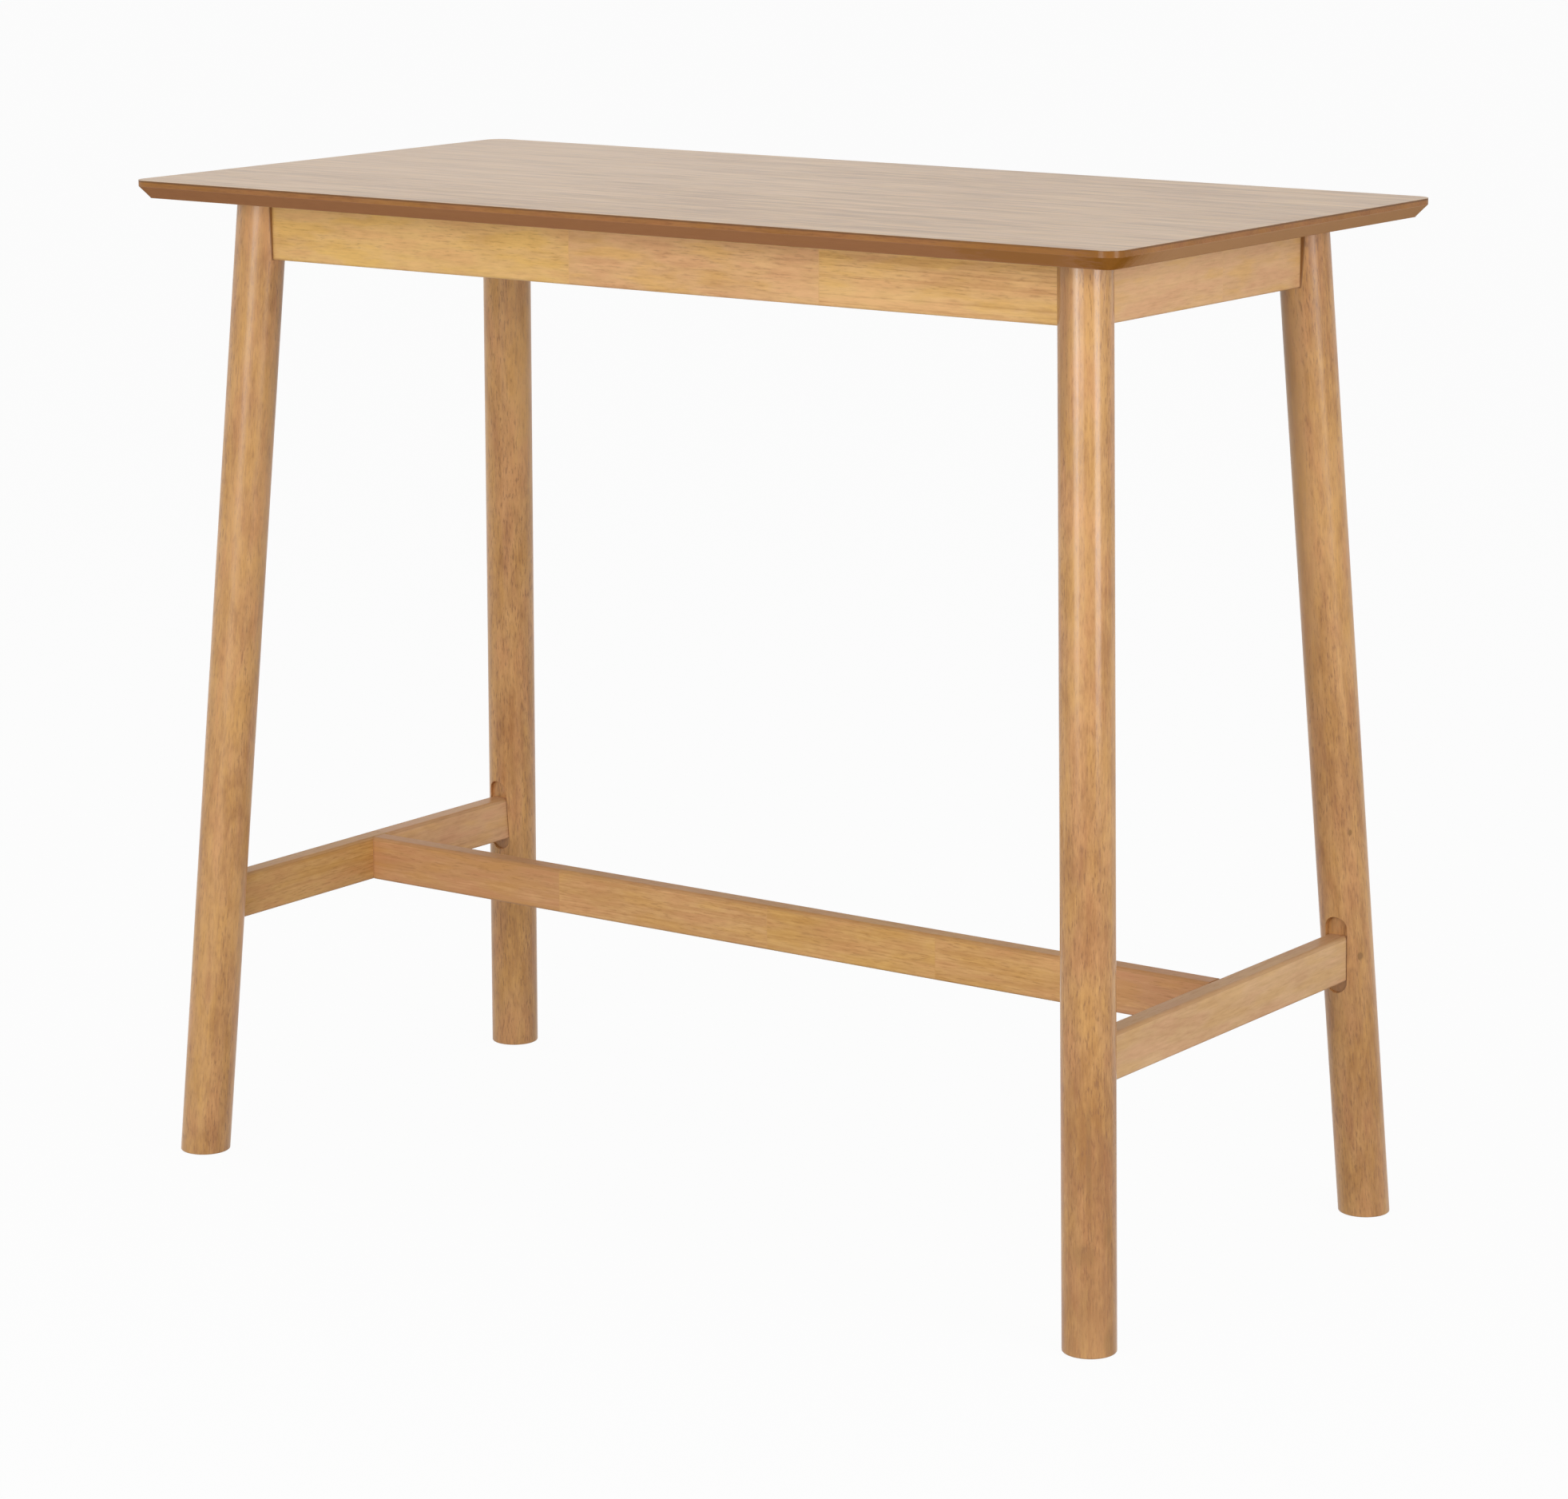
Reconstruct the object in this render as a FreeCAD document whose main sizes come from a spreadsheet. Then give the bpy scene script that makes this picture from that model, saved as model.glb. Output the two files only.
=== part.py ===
import FreeCAD, Part
import os
import re
import Sketcher

# Bar table, in millimetres. The floor is z = 0, the table stands centred on the origin,
# x runs along its length and the front is towards -y.

sizes = {
    "table_height": (1050, "floor to the top face"),
    "top_length": (1200, "top, end to end"),
    "top_width": (600, "top, front to back"),
    "core_thickness": (18, "board inside the top"),
    "veneer_thickness": (0.5, "each of the two veneers"),
    "edge_land": (6, "upright part of the rim, above the undercut"),
    "underside_corner_radius": (6, "corner of the underside, inside the undercut"),
    "leg_diameter": (53, "round legs"),
    "foot_end_inset": (34, "leg axis on the floor, in from the top's end"),
    "foot_side_inset": (33, "leg axis on the floor, in from the top's long side"),
    "head_end_inset": (93.5, "leg axis under the top, in from the top's end"),
    "head_side_inset": (99.5, "leg axis under the top, in from the top's long side"),
    "foot_easing": (1.5, "rounding of the foot's rim"),
    "seat_depth": (3, "milled off the leg head for each apron's seat, at the aprons' middle"),
    "apron_height": (65, "all four aprons"),
    "apron_thickness": (18, "all four aprons"),
    "apron_easing": (2, "rounding of the aprons' lower edges"),
    "apron_dowel_diameter": (10, "dowels in the apron ends"),
    "apron_dowel_length": (35, "half in the apron, half in the leg"),
    "apron_dowel_spread": (18, "each dowel above or below the apron's middle"),
    "dowel_bevel": (1, "bevel on each dowel end"),
    "dowel_room": (1, "empty depth beyond each dowel end"),
    "stretcher_bottom": (254, "underside of the three stretchers"),
    "stretcher_height": (48, "all three stretchers"),
    "stretcher_thickness": (22, "all three stretchers"),
    "stretcher_easing": (3, "rounding of the stretchers' long edges"),
    "housing_depth": (5.5, "flat-floored housing milled into the leg, at the stretchers' middle"),
    "housing_width": (24, "round-ended housing in the leg, a little wider than the stretcher"),
    "housing_above": (20, "open top end of the housing, above the stretcher"),
    "housing_below": (13, "open bottom end of the housing, below the stretcher"),
    "tenon_thickness": (10, "round-edged tenon on each end stretcher"),
    "tenon_height": (32, "round-edged tenon on each end stretcher"),
    "tenon_past_axis": (6, "tenon end beyond the leg axis"),
    "stretcher_dowel_diameter": (8, "dowels in the centre stretcher's ends"),
    "stretcher_dowel_bite": (12, "their depth in the end stretcher"),
    "stretcher_dowel_reach": (18, "their depth in the centre stretcher"),
    "stretcher_dowel_spread": (15, "each above or below the stretcher's middle"),
    "insert_diameter": (10, "threaded insert in the end stretcher"),
    "insert_length": (13, "threaded insert in the end stretcher"),
    "stud_diameter": (6, "stud between insert and nut"),
    "stud_clearance": (0.5, "wider than the stud, its hole in the centre stretcher"),
    "pocket_distance": (30, "nut pocket's middle, from the centre stretcher's end"),
    "pocket_diameter": (16, "round pocket bored from below"),
    "half_moon_height": (14, "half-round washer in the pocket"),
    "stud_nut_across": (10, "nut in the pocket, across its flats"),
    "stud_nut_height": (5, "nut in the pocket"),
    "stud_tail": (2, "stud beyond its nut"),
    "block_height": (50, "corner blocks, down from the top's underside"),
    "block_gap": (8, "between the round leg and its corner block"),
    "block_thickness": (24, "corner blocks, along the hanger bolt"),
    "hanger_diameter": (8, "hanger bolts"),
    "hanger_bite": (38, "hanger bolt's length inside the leg"),
    "hanger_clearance": (1, "wider than the bolt, its hole in the block"),
    "hanger_tail": (4, "hanger bolt beyond its nut"),
    "hanger_point": (3, "tapered end of the bolt's wood thread"),
    "washer_diameter": (20, "washer under each hanger bolt nut"),
    "washer_thickness": (1.6, "washer under each hanger bolt nut"),
    "hanger_nut_across": (13, "hanger bolt nut, across its flats"),
    "hanger_nut_height": (6.5, "hanger bolt nut"),
    "block_screw_diameter": (4, "screws from block to apron"),
    "block_screw_length": (24, "screws from block to apron, under the head"),
    "block_screw_grip": (12, "wood of the block under the screw head"),
    "block_screw_spread": (14, "each above or below the block's middle"),
    "block_screw_head": (8, "head diameter"),
    "block_screw_head_height": (3, "head height"),
    "top_screw_diameter": (5, "screws from block to top"),
    "top_screw_length": (50, "screws from block to top, under the head"),
    "top_screw_grip": (36, "wood of the block above the screw head"),
    "top_screw_spread": (18, "each to one side of the block's middle"),
    "top_screw_head": (9, "head diameter"),
    "top_screw_head_height": (3.5, "head height"),
    "bracket_offset": (190, "brackets on the long aprons, from their middle"),
    "bracket_leg": (30, "both legs of the angle bracket"),
    "bracket_width": (20, "angle bracket"),
    "bracket_thickness": (2, "angle bracket's steel"),
    "bracket_bend": (1, "inside radius of the bracket's bend"),
    "bracket_hole_distance": (18, "bracket's holes, from its bend"),
    "bracket_screw_diameter": (4, "bracket screws"),
    "bracket_screw_length": (15, "bracket screws, under the head"),
    "bracket_screw_head": (8, "head diameter"),
    "bracket_screw_head_height": (2.5, "head height"),
    "screw_point": (3, "tapered tip of every wood screw"),
    "glide_diameter": (22, "foot glide's disc"),
    "glide_thickness": (2.5, "foot glide's disc"),
    "glide_projection": (1, "glide below the wood of the foot"),
    "glide_bevel": (0.5, "bevel round the glide's sole"),
    "glide_stem_diameter": (6, "glide's stem"),
    "glide_stem_length": (12, "glide's stem, above its disc"),
    "fit": (0.2, "a hole is this much wider than what it holds"),
    "overrun": (10, "cutting shapes reach this far past the wood"),
}

# Lengths that follow from the sizes above. The leg axes lean by lean_x and lean_y for each
# unit of height. A half length or half width is counted from the middle of the table, and
# axis_x and axis_y are the leg axis's at the aprons' mid-height, low_axis_x and low_axis_y
# at the stretchers'.
formulas = {
    "top_thickness": "core_thickness + 2 * veneer_thickness",
    "underside": "table_height - top_thickness",
    "undercut": "core_thickness - edge_land",
    "corner_radius": "underside_corner_radius + undercut",
    "foot_half_length": "top_length / 2 - foot_end_inset",
    "foot_half_width": "top_width / 2 - foot_side_inset",
    "head_half_length": "top_length / 2 - head_end_inset",
    "head_half_width": "top_width / 2 - head_side_inset",
    "lean_x": "(foot_half_length - head_half_length) / underside",
    "lean_y": "(foot_half_width - head_half_width) / underside",
    "lean": "sqrt(lean_x ^ 2 + lean_y ^ 2)",
    "stretch": "sqrt(1 + lean_x ^ 2 + lean_y ^ 2)",
    "leg_radius": "leg_diameter / 2",
    "apron_bottom": "underside - apron_height",
    "apron_middle": "underside - apron_height / 2",
    "axis_x": "foot_half_length - lean_x * apron_middle",
    "axis_y": "foot_half_width - lean_y * apron_middle",
    "seat_offset": "leg_radius - seat_depth",
    "housing_offset": "leg_radius - housing_depth",
    "seat_x": "axis_x - seat_offset",
    "seat_y": "axis_y - seat_offset",
    "apron_inner": "apron_thickness / 2",
    "stretcher_middle": "stretcher_bottom + stretcher_height / 2",
    "low_axis_x": "foot_half_length - lean_x * stretcher_middle",
    "low_axis_y": "foot_half_width - lean_y * stretcher_middle",
    "centre_half_length": "low_axis_x - stretcher_thickness / 2",
    "block_near": "(leg_radius + block_gap) * sqrt(2)",
    "block_far": "(leg_radius + block_gap + block_thickness) * sqrt(2)",
    "block_wing": "(block_near + block_far) / 2 - apron_inner",
    "block_screw_upper": "block_height / 2 - block_screw_spread",
    "block_screw_lower": "block_height / 2 + block_screw_spread",
    "top_screw_far": "(block_near + block_far) / 4 + top_screw_spread / sqrt(2)",
    "top_screw_near": "(block_near + block_far) / 4 - top_screw_spread / sqrt(2)",
    "hanger_start": "leg_radius - hanger_bite",
    "hanger_seat": "leg_radius + block_gap + block_thickness",
    "hanger_end": "hanger_seat + washer_thickness + hanger_nut_height + hanger_tail",
    "bracket_top_x": "bracket_offset",
    "bracket_top_y": "axis_y - apron_inner - bracket_hole_distance",
    "bracket_end_x": "axis_x - apron_inner - bracket_hole_distance",
}

os.makedirs("parts", exist_ok=True)
document = FreeCAD.newDocument("bar_table")
sheet = document.addObject("Spreadsheet::Sheet", "Sizes")
for row, (name, (size, note)) in enumerate(sizes.items(), start=1):
    sheet.set(f"A{row}", name)
    sheet.set(f"B{row}", str(size))
    sheet.set(f"C{row}", note)
    sheet.setAlias(f"B{row}", name)
document.recompute()

nodes = {}


def bound(text):
    # Spells a length out in the sheet's own cells.
    def spell(match):
        word = match.group(0)
        if word in formulas:
            return "(" + bound(formulas[word]) + ")"
        if word in sizes:
            return "Sizes." + word
        return word
    return re.sub(r"[a-z_]+", spell, text)


def length_of(text):
    return float(sheet.evalExpression(bound(text)))


def bind(item, **properties):
    for name, text in properties.items():
        item.setExpression(name, bound(text))


def place(item, x="0", y="0", z="0", axis=("0", "0", "1"), angle="0"):
    # Puts a piece at a point, turned about an axis by an angle in degrees.
    for letter, text in zip("xyz", (x, y, z)):
        item.setExpression("Placement.Base." + letter, bound(text))
    for letter, text in zip("xyz", axis):
        item.setExpression("Placement.Rotation.Axis." + letter, bound(text))
    item.setExpression("Placement.Rotation.Angle", bound(angle))
    return item


def node(name, item):
    item.Label = name
    nodes[name] = item
    return item


# Outlines on a plane of a piece

def sketch_on(body, name, plane, offset="0"):
    sketch = body.newObject("Sketcher::SketchObject", name)
    for feature in body.Origin.OriginFeatures:
        if feature.Role == plane:
            sketch.AttachmentSupport = (feature, [""])
    sketch.MapMode = "FlatFace"
    sketch.setExpression("AttachmentOffset.Base.z", bound(offset))
    return sketch


def pin(sketch, geometry, end, x, y):
    # Ties a point of the outline to its two distances from the origin.
    for letter, axis_line, text in (("X", -2, x), ("Y", -1, y)):
        distance = length_of(text)
        kind = "Distance" + letter
        if distance == 0:
            sketch.addConstraint(Sketcher.Constraint("PointOnObject", geometry, end, axis_line))
        elif distance > 0:
            number = sketch.addConstraint(Sketcher.Constraint(kind, -1, 1, geometry, end, distance))
            sketch.setExpression(f"Constraints[{number}]", bound(text))
        else:
            number = sketch.addConstraint(Sketcher.Constraint(kind, geometry, end, -1, 1, -distance))
            sketch.setExpression(f"Constraints[{number}]", "-(" + bound(text) + ")")


def outline(sketch, corners):
    # A closed outline of straight lines through the corners.
    points = [FreeCAD.Vector(length_of(x), length_of(y), 0) for x, y in corners]
    count = len(points)
    for index in range(count):
        sketch.addGeometry(Part.LineSegment(points[index], points[(index + 1) % count]), False)
    for index in range(count):
        sketch.addConstraint(Sketcher.Constraint("Coincident", index, 2, (index + 1) % count, 1))
    for index, (x, y) in enumerate(corners):
        pin(sketch, index, 1, x, y)


def circles(sketch, places, diameter):
    for x, y in places:
        centre = FreeCAD.Vector(length_of(x), length_of(y), 0)
        upright = FreeCAD.Vector(0, 0, 1)
        ring = sketch.addGeometry(Part.Circle(centre, upright, length_of(diameter) / 2), False)
        number = sketch.addConstraint(Sketcher.Constraint("Diameter", ring, length_of(diameter)))
        sketch.setExpression(f"Constraints[{number}]", bound(diameter))
        pin(sketch, ring, 3, x, y)


# Shaping of single pieces

def new_body(name):
    return document.addObject("PartDesign::Body", name + "_body")


def pad(body, sketch, depth, side="One side", downwards=False):
    feature = body.newObject("PartDesign::Pad", sketch.Name + "_pad")
    feature.Profile = sketch
    feature.SideType = side
    feature.Reversed = downwards
    bind(feature, Length=depth)
    document.recompute()
    return feature


def bore(body, name, plane, offset, places, diameter, depth, reverse=False, mirror=None):
    # Round holes of one depth from one plane, and their mirror images where a plane is named.
    before = body.Tip.Shape.Volume
    sketch = sketch_on(body, body.Name + "_" + name, plane, offset)
    circles(sketch, places, diameter)
    feature = body.newObject("PartDesign::Pocket", sketch.Name + "_bore")
    feature.Profile = sketch
    feature.Reversed = reverse
    bind(feature, Length=depth)
    document.recompute()
    if mirror:
        pattern = body.newObject("PartDesign::Mirrored", sketch.Name + "_mirror")
        pattern.Originals = [feature]
        for item in body.Origin.OriginFeatures:
            if item.Role == mirror:
                pattern.MirrorPlane = (item, [""])
        body.Tip = pattern
        document.recompute()
    if not body.Tip.Shape.Volume < before:
        raise ValueError(sketch.Name + " cuts nothing")


def ease(body, name, radius, chosen, kind="PartDesign::Fillet", size="Radius"):
    # Rounds or bevels the edges that the test picks out.
    base = body.Tip
    edges = []
    for index, edge in enumerate(base.Shape.Edges, start=1):
        if chosen(edge, base.Shape.BoundBox):
            edges.append(f"Edge{index}")
    feature = body.newObject(kind, body.Name + "_" + name)
    feature.Base = (base, edges)
    bind(feature, **{size: radius})
    document.recompute()


def turned(name, profile):
    # A round piece: its half outline as radius and height, spun about the upright axis.
    body = new_body(name)
    sketch = sketch_on(body, name + "_profile", "XZ_Plane")
    outline(sketch, profile)
    feature = body.newObject("PartDesign::Revolution", name + "_spin")
    feature.Profile = sketch
    feature.ReferenceAxis = (sketch, ["V_Axis"])
    document.recompute()
    return body


def box(name, x, y, z, size_x, size_y, size_z):
    item = document.addObject("Part::Box", name)
    bind(item, Length=size_x, Width=size_y, Height=size_z)
    return place(item, x, y, z)


def rod(name, diameter, length, x, y, z, axis, angle="90"):
    # A straight round bar: it starts upright and is turned about the axis by the angle.
    item = document.addObject("Part::Cylinder", name)
    bind(item, Radius=f"({diameter}) / 2", Height=length)
    return place(item, x, y, z, axis, angle)


def leaning_rod(name, diameter, x, y, z, to_x, to_y, height):
    # A bar along a leg's axis, which rises towards to_x and to_y, each 1 or -1.
    axis = (f"{-to_y} * lean_y", f"{to_x} * lean_x", "0")
    return rod(name, diameter, f"({height}) * stretch", x, y, z, axis, "atan(lean)")


def fused(name, items):
    item = document.addObject("Part::MultiFuse", name)
    item.Shapes = items
    return item


def cut(name, base, tools):
    item = document.addObject("Part::Cut", name)
    item.Base = base
    item.Tool = tools[0] if len(tools) == 1 else fused(name + "_cutters", tools)
    return item


def copies(name, master, placements):
    # One node that holds the same small piece at several places.
    document.recompute()
    shapes = []
    for placement in placements:
        shape = master.Shape.copy()
        shape.Placement = placement.multiply(master.Placement)
        shapes.append(shape)
    item = document.addObject("Part::Feature", name + "_set")
    item.Shape = Part.makeCompound(shapes)
    return node(name, item)


def at(x, y, z, axis=(0, 0, 1), angle=0):
    # A placement from three lengths in words.
    point = FreeCAD.Vector(length_of(x), length_of(y), length_of(z))
    return FreeCAD.Placement(point, FreeCAD.Rotation(FreeCAD.Vector(*axis), angle))


# The four corners: name, side along the table, side across it, and the turn that makes
# a corner's own x and y both point inwards
corners = (
    ("front_left", -1, -1, 0),
    ("front_right", 1, -1, 90),
    ("back_right", 1, 1, 180),
    ("back_left", -1, 1, 270),
)


def corner_places(local):
    # The same place at all four corners, from the leg axis at the top's underside.
    result = []
    for name, side_x, side_y, turn in corners:
        corner = at(f"{side_x} * axis_x", f"{side_y} * axis_y", "underside", angle=turn)
        result.append(corner.multiply(local))
    return result


# Top: core board with an undercut rim, and a veneer on each face

def slab(name, inset, radius, depth, height):
    body = new_body(name)
    sketch = sketch_on(body, name + "_outline", "XY_Plane")
    half_x = f"(top_length / 2 - {inset})"
    half_y = f"(top_width / 2 - {inset})"
    outline(sketch, (
        ("-" + half_x, "-" + half_y),
        (half_x, "-" + half_y),
        (half_x, half_y),
        ("-" + half_x, half_y),
    ))
    pad(body, sketch, depth)
    ease(body, "corners", radius, lambda edge, bounds: edge.BoundBox.ZLength > bounds.ZLength / 2)
    place(body, z=height)
    return node(name, body)


def both_ways(places):
    # Each place with its images across the table's two middle lines.
    result = []
    for x, y in places:
        for side_x in (1, -1):
            for side_y in (1, -1):
                spot = (f"{side_x} * ({x})", f"{side_y} * ({y})")
                if length_of(x) == 0 and side_x < 0 or length_of(y) == 0 and side_y < 0:
                    continue
                result.append(spot)
    return result


top_screw_places = both_ways((
    ("axis_x - top_screw_far", "axis_y - top_screw_near"),
    ("axis_x - top_screw_near", "axis_y - top_screw_far"),
))
bracket_screw_places = both_ways((
    ("bracket_top_x", "bracket_top_y"),
    ("bracket_end_x", "0"),
))

core = slab("tabletop_core", "0", "corner_radius", "core_thickness", "underside + veneer_thickness")
ease(core, "undercut", "undercut", lambda edge, bounds: edge.BoundBox.ZMax < bounds.ZLength / 2,
     "PartDesign::Chamfer", "Size")
bore(core, "top_screws", "XY_Plane", "0", top_screw_places, "top_screw_diameter + fit",
     "top_screw_length - top_screw_grip - veneer_thickness + fit", True)
bore(core, "bracket_screws", "XY_Plane", "0", bracket_screw_places, "bracket_screw_diameter + fit",
     "bracket_screw_length - bracket_thickness - veneer_thickness + fit", True)

slab("tabletop_face_veneer", "0", "corner_radius", "veneer_thickness", "table_height - veneer_thickness")

backing = slab("tabletop_backing_veneer", "undercut", "underside_corner_radius", "veneer_thickness",
               "underside")
bore(backing, "top_screws", "XY_Plane", "0", top_screw_places, "top_screw_diameter + fit",
     "veneer_thickness", True)
bore(backing, "bracket_screws", "XY_Plane", "0", bracket_screw_places, "bracket_screw_diameter + fit",
     "veneer_thickness", True)


# Aprons: rails with square ends that butt on the milled leg heads. An apron's own x runs
# along it, its own y points inwards and its lower edge is z = 0.

def add_apron(name, half, x, y, turn, brackets):
    body = new_body(name)
    section = sketch_on(body, name + "_section", "YZ_Plane")
    outline(section, (
        ("-apron_inner", "0"),
        ("apron_inner", "0"),
        ("apron_inner", "apron_height"),
        ("-apron_inner", "apron_height"),
    ))
    pad(body, section, f"2 * ({half})", "Symmetric")
    ease(body, "lower_edges", "apron_easing",
         lambda edge, bounds: edge.BoundBox.ZMax < bounds.ZLength / 2
         and edge.BoundBox.XLength > bounds.XLength / 2)
    bore(body, "dowels", "YZ_Plane", half, (
        ("0", "apron_height / 2 + apron_dowel_spread"),
        ("0", "apron_height / 2 - apron_dowel_spread"),
    ), "apron_dowel_diameter + fit", "apron_dowel_length / 2 + dowel_room", mirror="YZ_Plane")
    wing = f"({half}) + seat_offset - block_wing"
    bore(body, "block_screws", "XZ_Plane", "-apron_inner", (
        (wing, "apron_height - block_screw_upper"),
        (wing, "apron_height - block_screw_lower"),
        (f"-({wing})", "apron_height - block_screw_upper"),
        (f"-({wing})", "apron_height - block_screw_lower"),
    ), "block_screw_diameter + fit", "block_screw_length - block_screw_grip + fit", True)
    bore(body, "bracket_screws", "XZ_Plane", "-apron_inner",
         [(spot, "apron_height - bracket_hole_distance") for spot in brackets],
         "bracket_screw_diameter + fit", "bracket_screw_length - bracket_thickness + fit", True)
    place(body, x, y, "apron_bottom", angle=turn)
    node(name, body)


add_apron("front_apron", "seat_x", "0", "-axis_y", "0", ("bracket_offset", "-bracket_offset"))
add_apron("back_apron", "seat_x", "0", "axis_y", "180", ("bracket_offset", "-bracket_offset"))
add_apron("left_apron", "seat_y", "-axis_x", "0", "270", ("0",))
add_apron("right_apron", "seat_y", "axis_x", "0", "90", ("0",))


# Legs: round, splayed both ways, cut level at foot and head. Two upright seats are milled
# on each head for the apron ends. Lower down, a round-ended housing with a flat, upright
# floor takes the end stretcher, and a mortise for its tenon goes on past the leg's axis.

def round_edged_bar(name, thickness, bottom, top, x, y, depth):
    # A level bar along y with half-round upper and lower edges, between two heights.
    low = f"({bottom}) + ({thickness}) / 2"
    high = f"({top}) - ({thickness}) / 2"
    parts = [box(name + "_flat", f"({x}) - ({thickness}) / 2", y, low,
                 thickness, depth, f"({high}) - ({low})")]
    for part, height in (("lower", low), ("upper", high)):
        parts.append(rod(f"{name}_{part}", thickness, depth, x, y, height, ("1", "0", "0"), "-90"))
    return fused(name, parts)


def across(side_y, near, far):
    # Where a box from near to far starts along y, on either side of the table, and its depth.
    return near if side_y > 0 else f"-({far})", f"({far}) - ({near})"


def add_leg(corner, side_x, side_y):
    name = corner + "_leg"
    blank = leaning_rod(name + "_blank", "leg_diameter",
                        f"{side_x} * (foot_half_length + lean_x * overrun)",
                        f"{side_y} * (foot_half_width + lean_y * overrun)",
                        "-overrun", -side_x, -side_y, "underside + 2 * overrun")
    reach_x = "foot_half_length + leg_diameter"
    reach_y = "foot_half_width + leg_diameter"
    level = box(name + "_level", "0" if side_x > 0 else f"-({reach_x})",
                "0" if side_y > 0 else f"-({reach_y})", "glide_projection",
                reach_x, reach_y, "underside - glide_projection")
    trimmed = document.addObject("Part::Common", name + "_trimmed")
    trimmed.Base = blank
    trimmed.Tool = level
    document.recompute()
    eased = document.addObject("Part::Fillet", name + "_eased")
    eased.Base = trimmed
    easing = length_of("foot_easing")
    eased.Edges = [(index, easing, easing) for index, edge in enumerate(trimmed.Shape.Edges, start=1)
                   if edge.BoundBox.ZMax < length_of("leg_diameter")]
    trimmed.Visibility = False

    seat_height = "apron_height + overrun"
    seat_along = box(name + "_seat_along",
                     "seat_x - leg_diameter" if side_x > 0 else "-seat_x",
                     f"{side_y} * axis_y - leg_diameter", "apron_bottom",
                     "leg_diameter", "2 * leg_diameter", seat_height)
    seat_across = box(name + "_seat_across", f"{side_x} * axis_x - leg_diameter",
                      "seat_y - leg_diameter" if side_y > 0 else "-seat_y", "apron_bottom",
                      "2 * leg_diameter", "leg_diameter", seat_height)
    tools = [seat_along, seat_across]
    hole_depth = "apron_dowel_length / 2 + dowel_room + overrun"
    hole = "apron_dowel_diameter + fit"
    for side in (1, -1):
        height = f"apron_middle + {side} * apron_dowel_spread"
        tools.append(rod(f"{name}_dowel_along{side + 1}", hole, hole_depth,
                         f"{side_x} * (seat_x - overrun)", f"{side_y} * axis_y", height,
                         ("0", "1", "0"), f"{side_x * 90}"))
        tools.append(rod(f"{name}_dowel_across{side + 1}", hole, hole_depth,
                         f"{side_x} * axis_x", f"{side_y} * (seat_y - overrun)", height,
                         ("1", "0", "0"), f"{side_y * -90}"))
    start = "(hanger_start - dowel_room) / sqrt(2)"
    tools.append(rod(name + "_hanger", "hanger_diameter + fit", "hanger_bite + dowel_room + overrun",
                     f"{side_x} * (axis_x - {start})", f"{side_y} * (axis_y - {start})",
                     "apron_middle", (f"{side_y}", f"{-side_x}", "0")))
    outside = "low_axis_y - leg_radius - overrun"
    start, depth = across(side_y, outside, "low_axis_y - housing_offset")
    tools.append(round_edged_bar(name + "_housing", "housing_width", "stretcher_bottom - housing_below",
                                 "stretcher_bottom + stretcher_height + housing_above",
                                 f"{side_x} * low_axis_x", start, depth))
    start, depth = across(side_y, outside, "low_axis_y + tenon_past_axis + dowel_room")
    tools.append(round_edged_bar(name + "_mortise", "tenon_thickness + fit",
                                 "stretcher_middle - (tenon_height + fit) / 2",
                                 "stretcher_middle + (tenon_height + fit) / 2",
                                 f"{side_x} * low_axis_x", start, depth))
    for part, diameter, top in (("glide", "glide_diameter + fit", "glide_thickness"),
                                ("stem", "glide_stem_diameter + fit",
                                 "glide_thickness + glide_stem_length + dowel_room")):
        tools.append(rod(f"{name}_{part}", diameter, f"{top} + overrun", f"{side_x} * foot_half_length",
                         f"{side_y} * foot_half_width", "-overrun", ("0", "0", "1"), "0"))
    node(name, cut(name + "_cut", eased, tools))


for corner, side_x, side_y, turn in corners:
    add_leg(corner, side_x, side_y)


# End stretchers: square ends seat on the floors of the leg housings, and a round-edged
# tenon runs on into each leg. Drawn for the left end, whose inner face looks towards +x.

def add_end_stretcher(name, turn):
    half = "(low_axis_y - housing_offset)"
    blank = new_body(name)
    section = sketch_on(blank, name + "_section", "XZ_Plane")
    side = "stretcher_thickness / 2"
    outline(section, (
        (f"-low_axis_x - {side}", "stretcher_bottom"),
        (f"-low_axis_x + {side}", "stretcher_bottom"),
        (f"-low_axis_x + {side}", "stretcher_bottom + stretcher_height"),
        (f"-low_axis_x - {side}", "stretcher_bottom + stretcher_height"),
    ))
    pad(blank, section, f"2 * {half}", "Symmetric")
    ease(blank, "long_edges", "stretcher_easing",
         lambda edge, bounds: edge.BoundBox.YLength > bounds.YLength / 2)
    reach = "(low_axis_y + tenon_past_axis)"
    tenon = round_edged_bar(name + "_tenons", "tenon_thickness", "stretcher_middle - tenon_height / 2",
                            "stretcher_middle + tenon_height / 2", "-low_axis_x",
                            f"-{reach}", f"2 * {reach}")
    joined = fused(name + "_joined", [blank, tenon])
    inner = "-centre_half_length"
    tools = [rod(name + "_insert", "insert_diameter + fit", "insert_length + overrun + fit",
                 f"{inner} - insert_length - fit", "0", "stretcher_middle", ("0", "1", "0"))]
    for level in (1, -1):
        depth = "stretcher_dowel_bite + dowel_room"
        tools.append(rod(f"{name}_dowel{level + 1}", "stretcher_dowel_diameter + fit",
                         f"{depth} + overrun", f"{inner} - ({depth})", "0",
                         f"stretcher_middle + {level} * stretcher_dowel_spread", ("0", "1", "0")))
    item = cut(name + "_cut", joined, tools)
    node(name, place(item, angle=turn))


add_end_stretcher("left_end_stretcher", "0")
add_end_stretcher("right_end_stretcher", "180")


# Centre stretcher: butts on the end stretchers, with a nut pocket bored from below near each end

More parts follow.
